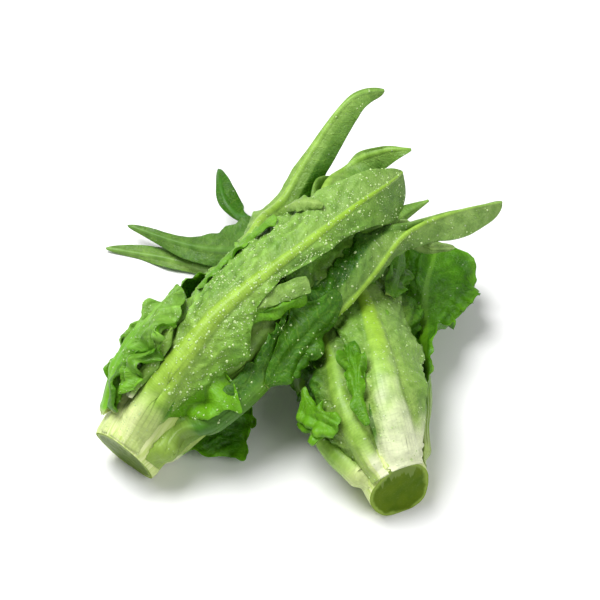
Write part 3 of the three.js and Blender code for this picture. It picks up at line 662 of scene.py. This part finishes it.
REACH = 11.0  # how deep a leaf is pressed back out of another
GAP = 0.9  # what stays between their middles, without the rib
RELIEF_ROOM = 0.4
ROUNDS = 4
LEAST_AGREEMENT = 0.25  # between the two leaves' faces, as the cosine of their angle
FULL_AGREEMENT = 0.6
STRAIGHT = 0.9  # the least share of the way to the other leaf that runs square to its face
CLOSE = 0.2  # a point nearer than this needs no such way


def settle(sheet, others):
    """Presses a leaf under the leaves over it, given as (tree, box, side): side -1 keeps it on
    the inner side of that leaf, and 1 on the outer side."""
    rows, columns = sheet.coarse()
    grid = np.ix_(rows, columns)
    base, own = sheet.points[grid], sheet.facing()[grid]
    gap = GAP + (sheet.rise() + RELIEF_ROOM)[grid]
    shift = np.zeros_like(base)
    for _ in range(ROUNDS):
        now = base + shift
        push = np.zeros_like(base)
        for tree, (low, high), side in others:
            near = np.argwhere(((now > low) & (now < high)).all(-1))
            for i, j in near:
                p = now[i, j]
                spot, normal, _, far = tree.find_nearest(Vector(p), REACH)
                if spot is None:
                    continue
                normal = np.array(normal)
                agree = float(own[i, j] @ normal)
                above = float((p - np.array(spot)) @ normal)
                off_its_margin = abs(above) < STRAIGHT * far and far > CLOSE
                if agree < LEAST_AGREEMENT or off_its_margin:
                    continue
                room = gap[i, j] if side < 0 else GAP
                depth = above + room if side < 0 else room - above
                depth = depth / max(agree, FULL_AGREEMENT)
                if depth > 0 and (push[i, j] @ push[i, j]) < depth * depth:
                    push[i, j] = side * depth * own[i, j]
        shift = blurred(shift + push)
    sheet.points = sheet.points + spread(shift, rows, columns, sheet.points.shape)
    sheet.points[..., 2] = np.maximum(sheet.points[..., 2], PRESSED_LOW)


VEIN_STEP = 9.0
VEIN_SLOPE = 0.75
VEIN_HALF = 0.9
VEIN_SHIFT = 0.37  # the right half's veins against the left half's, as a share of a step
SMOOTHING = 12  # rounds of blurring that tell hollows from ridges
RELIEF_FULL = 1.1
# heights in millimetres, before the leaf's own share
WRINKLES = dict(
    vein=0.3, pucker=-0.3, cell=0.45, pebble=0.15, crease=1.9, small=0.45, big=2.4, groove=0.05,
)


def wrinkle(sheet):
    """Veins, puckers, folds and creases, raised on the leaf's own grid."""
    x, y, s, seed = sheet.across, sheet.y[:, None], sheet.share, sheet.seed
    slim = np.minimum((x[:, -1:] - x[:, :1]) / 30, 1)
    size = slim * sheet.value("crumple") * (1 - sheet.shape["right_calm"] * (x > 0))
    size = size * smooth(sheet.t, 0.0, 0.15)[:, None]
    free = smooth(np.abs(x) - 0.6 * sheet.value("rib_width"), 0, 6)
    warp = 3.0 * noise(x / 14, y / 14, seed + 3) + 1.2 * noise(x / 5, y / 5, seed + 13)
    vein = (y - VEIN_SLOPE * np.abs(x) + warp) / VEIN_STEP + VEIN_SHIFT * (x > 0)
    off = np.abs(vein - np.round(vein)) * VEIN_STEP
    lines = np.exp(-((off / VEIN_HALF) ** 2)) * (1 - 0.6 * s)
    pucker = 0.5 - 0.5 * np.cos(TURN * vein)
    cells = noise(x / 5 + warp / 4, y / 5, seed + 4)
    pebbles = noise(x / 2.6 + warp / 4, y / 2.6, seed + 14)
    big = noise(x / 22, y / 30, seed + 5)
    out, on = np.abs(x) - 0.4 * y + 40 * (x > 0), y + 0.4 * np.abs(x)
    crease = 1 - 2.4 * np.abs(noise(out / 9 + warp / 7, on / 34, seed + 6))
    small = 1 - 2.4 * np.abs(noise(out / 3.6 + warp / 5, on / 11, seed + 8))
    grooves = np.cos(TURN * x / 2.3 + 2 * noise(x / 9, y / 40, seed + 9))
    forms = dict(
        vein=lines, pucker=pucker, cell=cells * (0.5 + 0.5 * pucker), pebble=pebbles,
        crease=crease * (0.3 + 0.7 * s), small=small, big=big * s,
    )
    height = sum(WRINKLES[key] * form for key, form in forms.items())
    stalk = (1 - smooth(sheet.t, 0.1, 0.45))[:, None] * (1 - free)
    total = height * size * free + WRINKLES["groove"] * grooves * stalk
    wide = total
    for _ in range(SMOOTHING):
        wide = blurred(wide)
    # painted shade and light: how far each point lies below or above the blurred wrinkles, for painting
    # the hollows darker and the ridges lighter
    sheet.relief = np.clip((total - wide) / RELIEF_FULL, -1, 1)
    sheet.points = sheet.points + total[..., None] * sheet.facing()
    sheet.points[..., 2] = np.maximum(sheet.points[..., 2], PRESSED_LOW)


def mesh_object(name, points, faces, values, look):
    """A piece from points in millimetres, with named values at its points."""
    mesh = bpy.data.meshes.new(name)
    mesh.from_pydata((np.asarray(points) * MM).tolist(), [], faces)
    for key, data in values.items():
        data = np.asarray(data, np.float32)
        kind = "FLOAT_VECTOR" if data.ndim > 1 else "FLOAT"
        field = mesh.attributes.new(key, kind, "POINT")
        field.data.foreach_set("vector" if data.ndim > 1 else "value", data.ravel())
    mesh.polygons.foreach_set("use_smooth", np.ones(len(mesh.polygons), bool))
    mesh.materials.append(look)
    piece = bpy.data.objects.new(name, mesh)
    bpy.context.scene.collection.objects.link(piece)
    return piece


BEND_FULL_SHADE = 50  # the degrees of a bend at which the blade beyond it is painted fully darker, as painted shade in the fold


def leaf_piece(sheet, look):
    """A leaf's two faces and the margin between them."""
    points, facing = sheet.points, sheet.facing()
    rows, columns = points.shape[:2]
    half = MARGIN_HALF + (BLADE_HALF - MARGIN_HALF) * (1 - sheet.share**MARGIN_GROWTH)
    outer = points + facing * (half + sheet.rise())[..., None]
    inner = points - facing * half[..., None]
    for face in (outer, inner):
        face[..., 2] = np.maximum(face[..., 2], FACE_LOW)
    a = np.arange(rows * columns).reshape(rows, columns)
    b = a + rows * columns

    def quads(p, q, r, s):
        return np.stack([p.ravel(), q.ravel(), r.ravel(), s.ravel()], 1)

    faces = [
        quads(a[:-1, :-1], a[:-1, 1:], a[1:, 1:], a[1:, :-1]),
        quads(b[:-1, :-1], b[1:, :-1], b[1:, 1:], b[:-1, 1:]),
        quads(a[:-1, 0], a[1:, 0], b[1:, 0], b[:-1, 0]),
        quads(a[:-1, -1], b[:-1, -1], b[1:, -1], a[1:, -1]),
        quads(a[0, :-1], b[0, :-1], b[0, 1:], a[0, 1:]),
        quads(a[-1, :-1], a[-1, 1:], b[-1, 1:], b[-1, :-1]),
    ]
    x, y, s = sheet.across, sheet.y[:, None], sheet.share
    width = sheet.rib_width()
    rib = (1 - smooth(np.abs(x) / width, 0.55, 1.1)) * (sheet.value("rib_height") > 0.1)
    lime, bloom, shade, halo, fresh, wet = (
        sheet.value(key) for key in ("lime", "bloom", "shade", "halo", "fresh", "wet")
    )
    # painted light and shade: one half of the blade is painted paler and the other darker, for how the
    # halves slant to the light
    tone = 0.6 * (sheet.value("tone") * (smooth(x, -1.5, 1.5) - 0.5))
    # painted shade: the blade beyond a bend is painted darker, the more the further it bends
    bend = np.where(x < 0, sheet.value("bend", 0), sheet.value("bend", 1)) / BEND_FULL_SHADE
    at = sheet.shape["bend_at"]
    bend_shade = bend * smooth(s, at - 0.04, at + 0.04)
    bloom, shade = bloom - tone - bend_shade, shade + tone + bend_shade
    uneven = 1 + 0.5 * noise(x / 6, y / 9, sheet.seed)
    reach = sheet.shape["pale"] * (0.55 + 0.65 * rib) * uneven
    pale = 1 - smooth(sheet.t[:, None], 0.1 * reach, 2 * reach + 0.02)
    halo = halo * (sheet.t > 0)[:, None] * np.exp(-((x / (1.5 * width + 2)) ** 2))

    def triple(*fields):
        return np.stack([np.broadcast_to(field, x.shape) for field in fields], -1).reshape(-1, 3)

    both_faces = {
        "leaf_mm": triple(x, y, sheet.seed * 3.7),
        "leaf_part": triple(lime * rib, s, rib),
        "leaf_mood": triple(bloom, shade, pale),
        "leaf_detail": triple(halo, fresh, wet),
    }
    values = {key: np.concatenate([value, value]) for key, value in both_faces.items()}
    relief = sheet.relief.ravel()
    values["leaf_relief"] = np.concatenate([relief, -relief])
    values["outer_face"] = np.repeat([1.0, 0.0], rows * columns)
    everything = np.concatenate([outer.reshape(-1, 3), inner.reshape(-1, 3)])
    faces = np.concatenate(faces).tolist()
    return mesh_object("fine_" + sheet.name, everything, faces, values, look)


class Look:
    """A material, and short ways to add shader nodes to it."""

    def __init__(self, name):
        self.material = bpy.data.materials.new(name)
        self.material.use_nodes = True
        self.tree = self.material.node_tree
        self.tree.nodes.clear()

    def add(self, kind, inputs, **settings):
        """A shader node with its settings, and its inputs set or linked."""
        node = self.tree.nodes.new("ShaderNode" + kind)
        for key, value in settings.items():
            setattr(node, key, value)
        for key, value in inputs.items():
            if isinstance(value, bpy.types.NodeSocket):
                self.tree.links.new(value, node.inputs[key])
            else:
                node.inputs[key].default_value = value
        return node

    def maths(self, operation, a, b=0.0, c=0.0):
        return self.add("Math", {0: a, 1: b, 2: c}, operation=operation).outputs[0]

    def times(self, a, b, plus=0.0):
        return self.maths("MULTIPLY_ADD", a, b, plus)

    def mixed(self, share, a, b, how="MIX"):
        inputs = {0: share, 6: a, 7: b}
        return self.add("Mix", inputs, data_type="RGBA", blend_type=how).outputs[2]

    def layered(self, color, *layers):
        """A colour under others, each given as (share, colour)."""
        for share, over in layers:
            color = self.mixed(share, color, over)
        return color

    def ramp(self, value, low, high, to_low=0.0, to_high=1.0):
        inputs = {0: value, 1: low, 2: high, 3: to_low, 4: to_high}
        return self.add("MapRange", inputs, interpolation_type="SMOOTHSTEP").outputs[0]

    def attribute(self, name, what="Vector"):
        return self.add("Attribute", {}, attribute_name=name).outputs[what]

    def parts(self, vector):
        return self.add("SeparateXYZ", {0: vector}).outputs

    def grain(self, place, scale, detail=3.0, stretch=(1, 1, 1)):
        """Noise from 0 to 1 over a piece's own millimetres; scale is in cells a millimetre."""
        scaled = self.add("VectorMath", {0: place, 1: stretch}, operation="MULTIPLY").outputs[0]
        inputs = {"Vector": scaled, "Scale": scale, "Detail": detail}
        return self.add("TexNoise", inputs).outputs["Fac"]

    def cells(self, place, scale, feature):
        inputs = {"Vector": place, "Scale": scale, "Randomness": 1.0}
        return self.add("TexVoronoi", inputs, feature=feature, voronoi_dimensions="3D").outputs

    def finish(self, surface):
        self.add("OutputMaterial", {"Surface": surface})
        return self.material


def srgb(red, green, blue):
    """A colour given as it looks, 0 to 255, turned to light."""
    return tuple(
        c / 12.92 if c <= 0.04045 else ((c + 0.055) / 1.055) ** 2.4
        for c in (red / 255, green / 255, blue / 255)
    ) + (1.0,)


PALE_STEM = srgb(214, 224, 160)
STEM_GREEN = srgb(176, 200, 98)
STEM_SHADED = srgb(114, 148, 36)
STEM_WHITE = srgb(226, 232, 196)
RIB_LIME = srgb(136, 178, 40)
RIB_PALE = srgb(186, 212, 108)
BLADE_LIGHT = srgb(124, 178, 44)
BLADE_MID = srgb(84, 148, 16)
BLADE_DARK = srgb(44, 100, 2)
BLADE_BRIGHT = srgb(106, 172, 20)
BLOOM_GREY = srgb(146, 178, 98)
INNER_MID = srgb(78, 138, 8)
INNER_DARK = srgb(50, 104, 2)
VEIN_LIGHT = srgb(160, 204, 70)
THROUGH_LIGHT = srgb(150, 205, 20)
# painted highlight: the light colour of the fine drops painted onto the leaves
DROP_HIGHLIGHT = srgb(236, 250, 216)
# the drops' light green colour stands in for their highlights and the green leaf seen through them: a
# painted highlight
WATER_PAINTED_HIGHLIGHT = (0.74, 0.95, 0.44, 1)
CUT_OLIVE = srgb(88, 112, 8)
CUT_DEEP = srgb(72, 100, 2)
CUT_WATERY = srgb(124, 144, 78)
CUT_RIM = srgb(140, 166, 70)


def leaf_look():
    look = Look("a_choy_leaf")
    attribute, parts, grain, ramp = look.attribute, look.parts, look.grain, look.ramp
    times, maths, mixed, layered = look.times, look.maths, look.mixed, look.layered
    place = attribute("leaf_mm")
    x, y, _ = parts(place)
    lime, share, rib = parts(attribute("leaf_part"))
    bloom, shade, paleness = parts(attribute("leaf_mood"))
    outer = attribute("outer_face", "Fac")
    halo, fresh, wet = parts(attribute("leaf_detail"))
    relief = attribute("leaf_relief", "Fac")

    off = maths("ABSOLUTE", x)
    broad = grain(place, 0.045)
    patchy = grain(place, 0.16, 5.0)
    fine = grain(place, 0.9, 4.0)

    # side veins run out and towards the tip from the rib, with a finer net between them
    along_vein = times(off, -VEIN_SLOPE, y)
    bent = times(patchy, 9.0, along_vein)
    side_step = times(maths("GREATER_THAN", x, 0.0), VEIN_SHIFT)
    turn = times(bent, 1 / VEIN_STEP, side_step)
    vein_off = times(maths("PINGPONG", turn, 0.5), VEIN_STEP)
    vein_wide = ramp(share, 0.1, 0.9, 1.0, 0.4)
    vein = ramp(vein_off, 0.0, vein_wide, 1.0, 0.0)
    net = look.cells(place, 0.34, "DISTANCE_TO_EDGE")["Distance"]
    net_line = ramp(net, 0.0, 0.1, 1.0, 0.0)
    cross = times(patchy, 4.0, y)
    cross_line = ramp(maths("PINGPONG", cross, 0.8), 0.0, 0.45, 1.0, 0.0)
    veins = maths("MAXIMUM", vein, times(net_line, 0.6))
    on_blade = maths("SUBTRACT", 1.0, rib)
    veins = times(veins, on_blade)

    # the outer face: shade darkens it towards BLADE_DARK, partly the leaf's own darker green and partly
    # painted shade, and bloom and shade also carry the painted tone and bend shade
    beside = times(halo, times(rib, -0.45, 1.0))
    green = layered(
        BLADE_MID,
        (ramp(broad, 0.3, 0.7), BLADE_LIGHT),
        (ramp(share, 0.7, 1.0, 0.0, 0.65), BLADE_BRIGHT),
        (ramp(shade, 0.0, 1.0, 0.0, 0.95), BLADE_DARK),
        (times(bloom, ramp(patchy, 0.25, 0.75, 0.6, 1.1)), BLOOM_GREY),
        (times(fresh, 0.9), BLADE_BRIGHT),
        (times(veins, 0.2), VEIN_LIGHT),
        (ramp(lime, 0.1, 0.8, 0.0, 0.9), RIB_LIME),
        (times(beside, ramp(patchy, 0.2, 0.8, 0.5, 1.0)), RIB_PALE),
    )

    # the inner face
    inside = layered(
        INNER_DARK,
        (ramp(broad, 0.35, 0.7), INNER_MID),
        (ramp(share, 0.7, 1.0, 0.0, 0.8), BLADE_BRIGHT),
        (times(veins, 0.2), BLADE_LIGHT),
        (times(lime, 0.5), RIB_LIME),
    )

    # the leaf's pale base: whiter where shade is low and darker towards STEM_SHADED where it is high,
    # partly painted shade
    streaks = grain(place, 0.7, 3.0, (1.0, 0.05, 1.0))
    pale = layered(
        PALE_STEM,
        (ramp(streaks, 0.3, 0.75, 0.1, 0.6), STEM_GREEN),
        (ramp(shade, 0.0, 0.15, 0.75, 0.0), STEM_WHITE),
        (ramp(shade, 0.15, 0.8, 0.0, 0.9), STEM_SHADED),
    )
    color = layered(inside, (outer, green), (paleness, pale))

    # light and dark blotches, the stripes across the rib, and painted shade in the wrinkles' hollows
    # with painted light on their ridges
    striped = times(cross_line, maths("MAXIMUM", halo, lime))
    striped = times(striped, maths("SUBTRACT", 1.0, paleness))
    blotch = times(ramp(fine, 0.25, 0.75, 0.92, 1.06), ramp(patchy, 0.25, 0.75, 0.84, 1.12))
    blotch = times(blotch, times(striped, -0.1, 1.02))
    blotch = times(blotch, times(relief, 0.35, 1.0))
    grey = look.add("CombineColor", {0: blotch, 1: blotch, 2: blotch}).outputs[0]
    color = mixed(1.0, color, grey, "MULTIPLY")

    # fine drops of water painted on as light specks, their lightness a painted highlight
    specks = look.cells(place, 0.32, "F1")
    chance, wide, _ = parts(specks["Color"])
    speck_size = times(wide, 0.16, 0.1)
    out_share = maths("DIVIDE", specks["Distance"], speck_size)
    inside_speck = maths("SUBTRACT", 1.0, out_share)
    dome = ramp(inside_speck, 0.0, 0.6)
    wetness = times(wet, ramp(broad, 0.35, 0.6, 0.3, 1.0))
    dome = times(dome, maths("LESS_THAN", chance, wetness))
    color = mixed(times(dome, 0.4), color, DROP_HIGHLIGHT)

    wrinkled = grain(place, 0.35, 2.0)
    ridge = maths("ABSOLUTE", maths("SUBTRACT", wrinkled, 0.5))
    ridge = times(ridge, on_blade)
    height = 0.0
    for form, high in (
        (veins, 0.35), (cross_line, -0.1), (fine, 0.25), (patchy, 0.8), (ridge, -2.2), (dome, 0.8),
    ):
        height = times(form, high, height)
    sign = times(outer, 2.0, -1.0)
    height = times(height, sign)
    bump = look.add("Bump", {"Height": height, "Strength": 0.7, "Distance": 0.0006}).outputs[0]
    rough = ramp(patchy, 0.2, 0.8, 0.34, 0.5)
    skin = look.add(
        "BsdfPrincipled",
        {"Base Color": color, "Roughness": rough, "Normal": bump, "Specular IOR Level": 0.32},
    )
    through = mixed(0.45, color, THROUGH_LIGHT)
    lit = look.add("BsdfTranslucent", {"Color": through, "Normal": bump}).outputs[0]
    thin = times(on_blade, times(paleness, -0.2, 0.24))
    both = look.add("MixShader", {0: thin, 1: skin.outputs[0], 2: lit}).outputs[0]
    return look.finish(both)


def stem_look():
    look = Look("a_choy_stem")
    attribute, grain, ramp = look.attribute, look.grain, look.ramp
    times, mixed, layered = look.times, look.mixed, look.layered
    place = attribute("stem_mm")
    y = look.parts(place)[1]
    cut = attribute("cut_face", "Fac")
    radial = attribute("from_middle", "Fac")
    streaks = grain(place, 0.55, 4.0, (1.0, 0.05, 1.0))
    patchy = grain(place, 0.12, 4.0)
    fine = grain(place, 1.2, 3.0)
    high = attribute("height_on_cut", "Fac")
    drips = grain(place, 0.22, 2.0, (1.0, 0.0, 0.0))
    edge = times(patchy, 0.35, radial)
    skin_color = layered(
        PALE_STEM,
        (ramp(streaks, 0.3, 0.7), STEM_GREEN),
        (ramp(y, 10.0, 40.0, 0.0, 0.7), STEM_GREEN),
    )
    olive = layered(
        CUT_OLIVE,
        (ramp(patchy, 0.3, 0.7), CUT_DEEP),
        (ramp(fine, 0.62, 0.7, 0.0, 0.3), CUT_WATERY),
        (ramp(times(drips, 1.3, high), 1.12, 1.2, 0.0, 0.6), CUT_WATERY),
        (ramp(edge, 1.0, 1.12, 0.0, 0.95), CUT_RIM),
    )
    color = mixed(cut, skin_color, olive)
    height = times(streaks, 0.4, times(fine, 0.3))
    bump = look.add("Bump", {"Height": height, "Strength": 0.4, "Distance": 0.0005}).outputs[0]
    rough = ramp(cut, 0.0, 1.0, 0.45, 0.38)
    skin = look.add(
        "BsdfPrincipled",
        {"Base Color": color, "Roughness": rough, "Normal": bump,
         "Specular IOR Level": ramp(cut, 0.0, 1.0, 0.25, 0.06),
         "Subsurface Weight": 0.05,
         "Subsurface Radius": (0.6, 1.0, 0.3), "Subsurface Scale": 0.003},
    )
    return look.finish(skin.outputs[0])


def water_look():
    look = Look("water")
    water = look.add(
        "BsdfPrincipled",
        {"Base Color": WATER_PAINTED_HIGHLIGHT, "Roughness": 0.1, "IOR": 1.35, "Transmission Weight": 0.4},
    )
    return look.finish(water.outputs[0])


STEM_GRID = dict(sides=96, skin_rows=50, cut_rows=14)
STEM_ROUND = 20  # the radius at which its angles are turned to millimetres
STEM_SEED = 31
CUT_LEAN_END = 12  # how far up the stem the lean of its cut end reaches


def stem_piece(name, head, look):
    """The cut stem: rounds of skin, then the cut face in to its middle."""
    sides, skin_rows, cut_rows = STEM_GRID.values()
    start, end = head.rings[0, 0], head.rings[-1, 0]
    angle = np.linspace(0, TURN, sides, endpoint=False)[None, :]
    cos, sin, around = np.cos(angle), np.sin(angle), angle * STEM_ROUND
    lobes = 1 + sum(deep * np.sin(n * angle + at) for n, at, deep in STEM_LOBES)
    skin = np.linspace(0, 1, skin_rows)[::-1, None] ** 1.3 * (end - start) + start
    skin_radius = head.radius(skin) * lobes
    skin_radius = skin_radius + 0.25 * noise(around / 7, skin / 30, STEM_SEED)
    skin_radius = skin_radius + 0.1 * noise(around / 2.2, skin / 40, STEM_SEED + 1)
    inwards = np.linspace(1, 0.02, cut_rows)[:, None]
    cut_radius = skin_radius[-1:] * inwards
    rough = 0.35 * noise(cut_radius * cos / 4, cut_radius * sin / 4, STEM_SEED + 2)
    cut = start + rough * smooth(1 - inwards, 0.02, 0.2)
    distance = np.concatenate([skin + 0 * angle, cut])
    radius = np.concatenate([skin_radius, cut_radius])
    centre, forward, top, side = head.frame(distance)
    points = centre + radius[..., None] * (top * cos[..., None] + side * sin[..., None])
    lean = head.slope * radius * cos * (1 - smooth(distance - start, 0, CUT_LEAN_END))
    points = points + lean[..., None] * forward
    points[..., 2] = np.maximum(points[..., 2], 0.0)

    count = points[..., 0].size
    a = np.arange(count).reshape(-1, sides)
    b = np.roll(a, -1, axis=1)
    faces = np.stack([a[:-1].ravel(), a[1:].ravel(), b[1:].ravel(), b[:-1].ravel()], 1)
    last = np.stack([a[-1], np.full(sides, count), b[-1]], 1)
    everything = np.concatenate([points.reshape(-1, 3), points[-1].mean(0)[None]])
    is_cut = np.repeat([0.0, 1.0], [skin_rows, cut_rows])[:, None] + 0 * angle
    from_middle = np.concatenate([np.ones((skin_rows, 1)), inwards]) + 0 * angle
    beside = np.where(is_cut > 0, radius * sin, around)
    place = np.stack([beside, distance, radius * cos], -1).reshape(-1, 3)
    values = {
        "stem_mm": np.concatenate([place, [[0, start, 0]]]),
        "cut_face": np.append(is_cut.ravel(), 1),
        "from_middle": np.append(from_middle.ravel(), 0),
        "height_on_cut": np.append((radius * cos / radius.max()).ravel(), 0),
    }
    return mesh_object("fine_" + name, everything, faces.tolist() + last.tolist(), values, look)


# Seeds: each head's first leaf, the step to the next leaf, and the drops on each head
UPPER_SEED = 100
LOWER_SEED = 500
SEED_STEP = 11
DROP_SEEDS = (5, 6)


def grow_leaves(prefix, head, leaves, above, first_seed):
    """All the leaves of a head, each pressed under those listed before it."""
    sheets, placed = [], []
    for index, (name, shape) in enumerate(leaves.items()):
        sheet = Sheet(prefix + "_leaf_" + name, head, shape, first_seed + SEED_STEP * index)
        wrinkle(sheet)
        if not shape["free"]:
            settle(sheet, [(*other, -1) for other in placed] + [(*other, 1) for other in above])
        if not shape["loose"]:
            placed.append((sheet.tree(), sheet.box(REACH)))
        sheets.append(sheet)
    return sheets, placed


def drop_shape(around=8, up=4):
    """A ball's points, and its faces as their numbers."""
    angles = np.arange(around) * TURN / around
    template = [(0.0, 0.0, 1.0)]
    for k in range(1, up):
        high = math.pi * k / up
        template += [
            (math.sin(high) * math.cos(a), math.sin(high) * math.sin(a), math.cos(high))
            for a in angles
        ]
    template.append((0.0, 0.0, -1.0))
    ring = [1 + around * k for k in range(up - 1)]
    faces = []
    for k in range(around):
        after = (k + 1) % around
        faces.append((0, ring[0] + k, ring[0] + after))
        for low, high in zip(ring, ring[1:]):
            faces.append((low + k, high + k, high + after, low + after))
        faces.append((len(template) - 1, ring[-1] + after, ring[-1] + k))
    return np.array(template), faces


# drops: the usual radius in millimetres, how it varies, how flat they are, and how far up the
# sky above them has to be open
DROP = dict(size=0.33, varies=0.45, largest=0.9, flat=(0.4, 0.6), oval=(0.85, 1.2), sunk=0.15)
SKY_TILT = np.array([0.0, -0.4, 1.0])
SKY_OPEN = 70
SKY_LIFT = 1.5  # how far over its leaf the look up at the sky starts
FACES_DOWN = -0.3


def droplets(name, sheets, trees, look, seed):
    """Small flattened drops of water on the outer faces that lie open to the sky."""
    rng = np.random.default_rng(seed)
    template, faces = drop_shape()
    points, corners = [], []
    for sheet in (sheet for sheet in sheets if sheet.shape["drops"]):
        facing = sheet.facing()
        outer = sheet.points + facing * (BLADE_HALF + sheet.rise())[..., None]
        cell = np.linalg.norm(
            np.cross(np.gradient(outer, axis=0), np.gradient(outer, axis=1)), axis=-1
        )
        patches = noise(sheet.across / 15, sheet.y[:, None] / 19, sheet.seed + 21)
        dense = smooth(patches, -0.6, 0.6) + 0.12
        cell = cell * dense * sheet.value("wet")
        chance = (cell / cell.sum()).ravel()
        for k in rng.choice(chance.size, sheet.shape["drops"], p=chance):
            i, j = divmod(int(k), outer.shape[1])
            normal, spot = facing[i, j], outer[i, j]
            tilt = Vector(unit(normal + SKY_TILT))
            lift = Vector(spot + SKY_LIFT * normal)
            covered = any(tree.ray_cast(lift, tilt, SKY_OPEN)[0] for tree in trees)
            size = DROP["size"] * math.exp(DROP["varies"] * rng.standard_normal())
            size = min(size, DROP["largest"])
            squash = rng.uniform(*DROP["flat"])
            if covered or normal[2] < FACES_DOWN:
                continue
            across = unit(np.cross(normal, [0.3, 0.1, 1.0]))
            other = np.cross(normal, across)
            shape = template * [size, size * rng.uniform(*DROP["oval"]), size * squash]
            base = len(points) * len(template)
            placed = spot + normal * size * DROP["sunk"]
            points.append(
                placed + shape[:, :1] * across + shape[:, 1:2] * other + shape[:, 2:] * normal
            )
            corners += [tuple(base + c for c in face) for face in faces]
    return mesh_object(name, np.concatenate(points), corners, {}, look)


leaf_skin, stem_skin, water = leaf_look(), stem_look(), water_look()
upper_sheets, upper_placed = grow_leaves("upper", upper_head, UPPER_LEAVES, [], UPPER_SEED)
lower_sheets, lower_placed = grow_leaves("lower", lower_head, LOWER_LEAVES, upper_placed, LOWER_SEED)
trees = [tree for tree, _ in upper_placed + lower_placed]

for sheet in upper_sheets + lower_sheets:
    piece = leaf_piece(sheet, leaf_skin)
    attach(piece, "root")
    if not sheet.shape["extra"]:
        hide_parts(sheet.name)
for name, head in (("upper_stem", upper_head), ("lower_stem", lower_head)):
    piece = stem_piece(name, head, stem_skin)
    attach(piece, "root")
    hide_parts(name)
for name, sheets, seed in zip(("upper", "lower"), (upper_sheets, lower_sheets), DROP_SEEDS):
    piece = droplets(name + "_droplets", sheets, trees, water, seed)
    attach(piece, "root")

# The floor, the lights and the camera, in metres where no unit is named
TARGET = Vector((0.002, 0.004, 0.040))
CAMERA_HIGH = math.radians(48)
CAMERA_FAR = 1.2
LENS_MM = 120
SENSOR_MM = 36
FLOOR_HALF = 4.0
FLOOR_LOWER = 0.0002
FLOOR_COLOR = (0.9, 0.9, 0.9, 1)
WORLD_COLOR = (1, 1, 1, 1)
WORLD_STRENGTH = 0.3
# lights: where they hang, how wide they are, and their watts
KEY_LIGHT = dict(place=(-0.4, 0.15, 1.15), size=0.8, power=19.5)
FILL_LIGHT = dict(place=(0.8, -0.8, 0.9), size=0.9, power=6)


def make_floor():
    look = Look("pale_floor")
    skin = look.add(
        "BsdfPrincipled",
        {"Base Color": FLOOR_COLOR, "Roughness": 0.95, "Specular IOR Level": 0.1},
    )
    mesh = bpy.data.meshes.new("floor")
    corners = [(x * FLOOR_HALF, y * FLOOR_HALF, 0) for x, y in ((-1, -1), (1, -1), (1, 1), (-1, 1))]
    mesh.from_pydata(corners, [], [(0, 1, 2, 3)])
    mesh.materials.append(look.finish(skin.outputs[0]))
    floor = bpy.data.objects.new("floor", mesh)
    floor.location.z = -FLOOR_LOWER
    bpy.context.scene.collection.objects.link(floor)


def make_light(name, place, size, power):
    data = bpy.data.lights.new(name, "AREA")
    data.shape = "DISK"
    data.size = size
    data.energy = power
    light = bpy.data.objects.new(name, data)
    light.location = place
    light.rotation_euler = (TARGET - Vector(place)).to_track_quat("-Z", "Y").to_euler()
    bpy.context.scene.collection.objects.link(light)


make_floor()
make_light("key", **KEY_LIGHT)
make_light("fill", **FILL_LIGHT)
world = bpy.data.worlds.new("studio")
world.use_nodes = True
world.node_tree.nodes["Background"].inputs["Color"].default_value = WORLD_COLOR
world.node_tree.nodes["Background"].inputs["Strength"].default_value = WORLD_STRENGTH
bpy.context.scene.world = world
bpy.context.scene.view_settings.view_transform = "Standard"

camera = bpy.data.objects.new("camera", bpy.data.cameras.new("camera"))
camera.data.lens = LENS_MM
camera.data.sensor_width = SENSOR_MM
back = Vector((0, -math.cos(CAMERA_HIGH), math.sin(CAMERA_HIGH)))
camera.location = TARGET + back * CAMERA_FAR
camera.rotation_euler = (-back).to_track_quat("-Z", "Y").to_euler()
bpy.context.scene.collection.objects.link(camera)
bpy.context.scene.camera = camera
